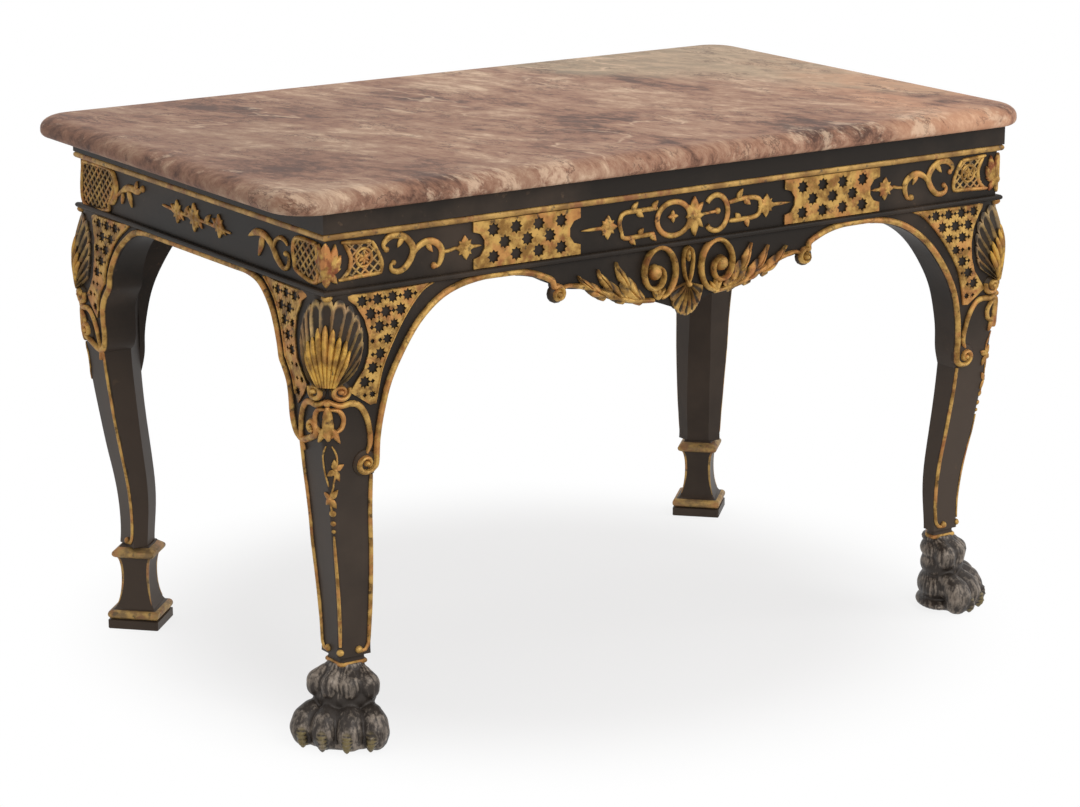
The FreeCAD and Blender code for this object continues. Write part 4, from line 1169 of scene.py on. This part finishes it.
def acanthus(pen, spine, high, lobes):
    # a carved leaf: a ridged blade along a spine with lobes that sweep forward
    line = smoothPath(spine)
    rings, relief = [], []
    for i, (u, v, room) in enumerate(line):
        along = heading(line, i)
        t = i / (len(line) - 1)
        swell = 0.5 + 0.5 * sin(pi * (0.15 + 0.8 * t))
        section, levels = [], []
        for k in range(15):
            s = k / 7 - 1
            phase = (t * lobes - abs(s) * 0.55) % 1
            notch = 1 - 0.36 * exp(-((phase - 0.06) / 0.13) ** 2) * abs(s)
            crease = 0.55 + 0.45 * sin(pi * phase) ** 0.6
            vein = 1 - 0.35 * exp(-(s / 0.12) ** 2)
            lift = high * (0.30 + 0.70 * (1 - abs(s) ** 1.6)) * crease * vein * swell
            section.append((room * notch * s, max(lift, 0.8)))
            # the creases between the lobes and the midrib get low levels, where the gilding paints shade
            levels.append(min(1.0, (crease - 0.35) * vein * (1.3 - 0.5 * abs(s))))
        section += [(room * 0.9, -1.5), (-room * 0.9, -1.5)]
        rings.append([pen.spot(u - along.y * across, v + along.x * across, lift) for across, lift in section])
        relief.append(levels + [0.0, 0.0])
    pen.carving.rings(rings, relief)


def apronCarving():
    carving = Carving()
    top = railBottom
    for pen in Pen(carving, apronFace, 1, apron["middle"]).halves():
        scroll = []
        for t in [i / 32 for i in range(33)]:
            angle, wind = radians(-100 - 500 * t), 1 - t ** 2
            scroll.append((apron["scrollOut"] + 8 * t ** 2 + (22 * wind + 8) * cos(angle),
                           top - apron["scrollDrop"] + (31 * wind + 8) * sin(angle), 9.0 - 2.6 * t, 11 + 3 * t))
        pen.line(scroll, 8, 12, 0.8, 2, step=3)
        pen.dot(apron["eye"][0] - 1, top - apron["eye"][1], 21, 16, 2, 24)
        for tip in ((36, 50), (46, 44), (58, 46)):
            pen.leaf((52, top - 66), (tip[0] + 4, top - tip[1]), 9, 7)
        plain = Pen(carving, apronFace, pen.mirror)
        for spine in apron["lobes"]:
            acanthus(plain, [(u, top - drop, room) for u, drop, room in spine], 12, 2.6)
        plain.line([(u, top - drop, 9 - 2 * (u > 190)) for u, drop in apron["border"]], 8.5, 8, 0.8, 2)
    pen = Pen(carving, apronFace, 1, apron["middle"])
    loop = [(0, -41), (-5, -30), (-8, -14), (-8.5, 0), (-6, 9), (0, 13), (6, 9), (8.5, 0), (8, -14), (5, -30),
            (0, -41)]
    pen.line([(u, top - 8 + v) for u, v in loop], 4.6, 9, 1, 2)
    pen.leaf((0, top + 2), (0, top - 16), 8, 9)
    pen.dot(0, top - 49, 11, 13, 2)
    scallop(Pen(carving, apronFace, 1, apron["middle"] - 2), pendant, -1, 0.15)
    carving.make("apronCarving", gilding,
                 ["apron_scroll_left", "apron_scroll_right", "apron_leaf_left", "apron_leaf_right", "apron_ring",
                  "apron_shell"])


apronCarving()
print("apron carved")


footLow, footHigh = measure("block_foot_right")
footX = (footLow[0] + footHigh[0]) / 2 - shiftX
footY = (footLow[1] + footHigh[1]) / 2 - shiftY

paw = {
    "voxel": 0.0019,
    "top": 0.119,
    "hairDepth": 0.4,
    "strands": 22,
    "clawReach": 9.0,
    "waist": 69.0,  # the hollow above the toes, darkened by a band of painted shade
    "waistShadeWide": 6.0,
    "contrast": 2.6,
    # forward, sideways, height, then the radii
    "body": [(0, 0, 114, 25, 27, 12), (4, 0, 96, 31, 40, 20), (8, 0, 72, 34, 46, 26), (8, 0, 38, 38, 52, 30),
             (26, 0, 38, 34, 60, 24), (10, 0, 13, 42, 58, 13), (28, 0, 14, 36, 60, 14)],
    "toes": (-1.0, -0.36, 0.36, 1.0),
    "setBack": 14.0,
    # forward, sideways of the outer toe, height, radius
    "knuckle": [(6, 8, 113, 8), (13, 15, 108, 11), (22, 26, 100, 14.5), (30, 36, 91, 17.5), (31, 38, 82, 15)],
    "toe": [(30, 36, 55, 12), (40, 43, 49, 17), (49, 49, 40, 20.5), (53, 51, 30, 21.5), (50, 50, 17, 18)],
    "claw": [(67, 50, 31, 6), (72, 50, 25, 7), (73, 49, 17, 7), (69, 48, 9, 6)],
}


def rows(keys, steps=3):
    # spots along a limb's keys, without its last key
    return [tuple(a + (b - a) * k / steps for a, b in zip(one, two))
            for one, two in zip(keys, keys[1:]) for k in range(steps)]


def roughPaw(word, clawSpots):
    # the paw's lumps fused into one skin; the claws' spots are noted
    work = bmesh.new()
    lumps = list(paw["body"])
    for share in paw["toes"]:
        for limb in ("knuckle", "toe", "claw"):
            for forward, sideways, z, r in rows(paw[limb]):
                x, y = forward - paw["setBack"] * share * share, sideways * share
                lumps.append((x, y, z, r, r * 0.96, r))
                if limb == "claw":
                    clawSpots.append(Vector((x, y, z)))
    for x, y, z, rx, ry, rz in lumps:
        matrix = Matrix.Translation((x, y, z)) @ Matrix.Diagonal((rx, ry, rz, 1))
        bmesh.ops.create_icosphere(work, subdivisions=3, radius=1, matrix=matrix)
    mesh = bpy.data.meshes.new("paw" + word)
    work.to_mesh(mesh)
    work.free()
    mesh.transform(Matrix.Scale(0.001, 4))
    rough = put("pawRough" + word, mesh)
    fuse = rough.modifiers.new("fuse", "REMESH")
    fuse.mode, fuse.voxel_size = "VOXEL", paw["voxel"]
    ease = rough.modifiers.new("ease", "SMOOTH")
    ease.iterations, ease.factor = 5, 0.5
    shaped = bpy.data.meshes.new_from_object(rough.evaluated_get(bpy.context.evaluated_depsgraph_get()))
    bpy.data.objects.remove(rough)
    return shaped


def makePaw(word, sideX, node):
    clawSpots = []
    shaped = roughPaw(word, clawSpots)
    work = bmesh.new()
    work.from_mesh(shaped)
    bmesh.ops.recalc_face_normals(work, faces=work.faces)
    work.normal_update()
    # hair on the skin and ridges on the claws, cut along the normals as they are before any cut
    cuts, claws = {}, {}
    for vert in work.verts:
        spot = vert.co * 1000
        x, y, z = spot
        swirl = atan2(y, x + 14) + 0.10 * noise.noise(Vector((x, y, z * 0.4)) * 0.06)
        strand = abs(sin(swirl * paw["strands"] + 1.2 * noise.noise(spot * 0.09)))
        claw = min(max((paw["clawReach"] - min((spot - at).length for at in clawSpots)) / 2.5, 0), 1)
        cuts[vert] = paw["hairDepth"] * ((1 - strand) ** 1.2 * (1 - claw) + 2.2 * claw * abs(sin(z * 0.55)))
        claws[vert] = claw
    for vert, depth in cuts.items():
        vert.co -= vert.normal * depth / 1000
    for height, way in ((0, -1), (paw["top"], 1)):
        everything = work.verts[:] + work.edges[:] + work.faces[:]
        bmesh.ops.bisect_plane(work, geom=everything, plane_co=(0, 0, height), plane_no=(0, 0, way),
                               clear_outer=True)
    bmesh.ops.holes_fill(work, edges=[e for e in work.edges if e.is_boundary])
    work.normal_update()
    marks = {"relief": [], "claw": []}
    for vert in work.verts:
        # crests are where the edges fall away from the normal
        ways = [(vert.co - edge.other_vert(vert).co).normalized() for edge in vert.link_edges]
        bend = sum(way.dot(vert.normal) for way in ways) / max(len(ways), 1)
        # the relief mark is lowered in a band at the waist above the toes: painted shade
        waistShade = exp(-((vert.co.z * 1000 - paw["waist"]) / paw["waistShadeWide"]) ** 2)
        marks["relief"].append(min(max(0.5 + bend * paw["contrast"] - 0.45 * waistShade, 0), 1))
        marks["claw"].append(claws.get(vert, 0.0))
    turn = Matrix.Translation(toScene(sideX * footX, -footY, 0)) @ Matrix.Rotation(atan2(-1, sideX), 4, "Z")
    bmesh.ops.transform(work, matrix=turn, verts=work.verts)
    work.to_mesh(shaped)
    work.free()
    finishPiece("pawFoot" + word, shaped, pawBronze, marks, [node], 60)


def ankleRing(sideX, z, grow):
    # the leg's section at the ankle with rounded corners, moved out by grow
    bulge, outer, inner = legAt(footTop, 1), legAt(footTop, 2), legAt(footTop, 3)
    highX, highY = halfWidth + bulge, halfDepth + bulge
    lowX, lowY = highX - outer, highY - outer
    corners = [(highX, highY), (lowX, highY), (lowX, highY - inner), (highX - inner, lowY), (highX, lowY)]
    points = []
    for i, here in enumerate(corners):
        before, after = corners[i - 1], corners[(i + 1) % len(corners)]
        start = Vector(here) + (Vector(before) - Vector(here)).normalized() * 8
        end = Vector(here) + (Vector(after) - Vector(here)).normalized() * 8
        for k in range(5):
            t = k / 4
            points.append(start * (1 - t) ** 2 + Vector(here) * 2 * t * (1 - t) + end * t ** 2)
    centre = Vector(((lowX + highX) / 2, (lowY + highY) / 2))
    return [toScene(sideX * p.x, -p.y, z) for p in
            (centre + (q - centre) * (1 + grow / (q - centre).length) for q in points)]


def makeAnkle(word, sideX, node):
    for name, finish, stands, profile in (
            ("ankleNeck", ebony, [node], [(-12, 131), (-3, 130.8), (-6.5, 128), (-7, 125), (-5.5, 121),
                                          (-12, 120)]),
            ("ankleRing", gilding, [], [(-12, 122), (-4.2, 121.6), (-2.6, 120), (-2.2, 118.5), (-2.6, 117),
                                        (-4.2, 115.8), (-12, 115)])):
        carving = Carving()
        carving.rings([ankleRing(sideX, z, grow) for grow, z in profile], 0.8)
        carving.make(name + word, finish, stands)


for sideX, word in sides:
    makePaw(word, sideX, "paw_foot_" + word.lower())
    makeAnkle(word, sideX, "ankle_collar_" + word.lower())
print("paws carved")


block = {"plinth": 80.0, "plinthHeight": 15.0, "torus": 14.0, "waist": 43.0, "cap": 66.0, "capHeight": 18.0,
         "stripe": 9.5}


def squareRing(half, z, middleX):
    # a square turned on its corner, with its corners cut
    cut = half - 1.6
    corners = [(half, cut), (cut, half), (-cut, half), (-half, cut), (-half, -cut), (-cut, -half), (cut, -half),
               (half, -cut)]
    return [toScene(middleX + (x - y) * sqrt(0.5), footY + (x + y) * sqrt(0.5), z) for x, y in corners]


def blockProfile():
    half, waist, cap = block["plinth"] / 2, block["waist"] / 2, block["cap"] / 2
    low, torus = block["plinthHeight"], block["torus"]
    torusTop, capBottom = low + torus, footTop - block["capHeight"]
    waistZ = torusTop + (capBottom - torusTop) * 0.62
    flare, neck = half * 0.86 - waist, cap * 0.84 - waist
    foot = [(half - 0.5, 0), (half, 1), (half, low - 1.5)]
    roll = arc(half - torus * 0.4, low + torus / 2, torus * 0.4, torus / 2, -90, 180, 8)
    hollow = arc(waist + flare, waistZ, flare, waistZ - torusTop, 270, -90, 14)
    hollow += arc(waist + neck, waistZ, neck, capBottom - waistZ, 180, -90, 8)[1:]
    nose = arc(cap - 6, capBottom + 6, 6, 6, -90, 150, 7)
    nose += [(cap - 6, capBottom + 13.5), (cap - 9, capBottom + 16), (cap - 10, footTop)]
    return foot, roll, hollow, nose


def makeBlockFoot(word, sideX, node):
    middleX = sideX * footX
    foot, roll, hollow, nose = blockProfile()
    body = Carving()
    body.rings([squareRing(half, z, middleX) for half, z in foot + roll + hollow + nose], 0.3)
    body.make("blockFoot" + word, ebony, [node], 25)
    gilt = Carving()
    for run in (roll, nose[1:10]):
        skin = [(half + 0.5, z) for half, z in run] + [(half - 2.5, z) for half, z in (run[-1], run[0])]
        gilt.rings([squareRing(half, z, middleX) for half, z in skin + skin[:1]], 0.8, 0.5, False)
    low, high = hollow[0][1] + 8, hollow[-1][1] - 1
    stripe = block["stripe"] * 1.3
    for quarter in range(4):
        def arris(u, v, lift, angle=radians(90 * quarter)):
            # v is a height on the hollow and u the way round its corner
            half = hollow[-1][0]
            for (h0, z0), (h1, z1) in zip(hollow, hollow[1:]):
                if z0 <= v <= z1:
                    half = h0 + (h1 - h0) * (v - z0) / max(z1 - z0, 1e-6)
            x = half * sqrt(2) + lift * 1.2 - 1.6 - abs(u) * sqrt(0.5)
            y = u * sqrt(0.5)
            return toScene(middleX + x * cos(angle) - y * sin(angle),
                           footY + x * sin(angle) + y * cos(angle), v)
        Pen(gilt, arris).line([(0, low, 2), (0, low + 14, 7), (0, (low + high) / 2, stripe), (0, high, stripe)],
                              9, 1.6, 0.9, 1.5, 3, 0.4)
    gilt.make("blockFootGilding" + word, brownGilding)


for sideX, word in sides:
    makeBlockFoot(word, sideX, "block_foot_" + word.lower())
print("block feet made")
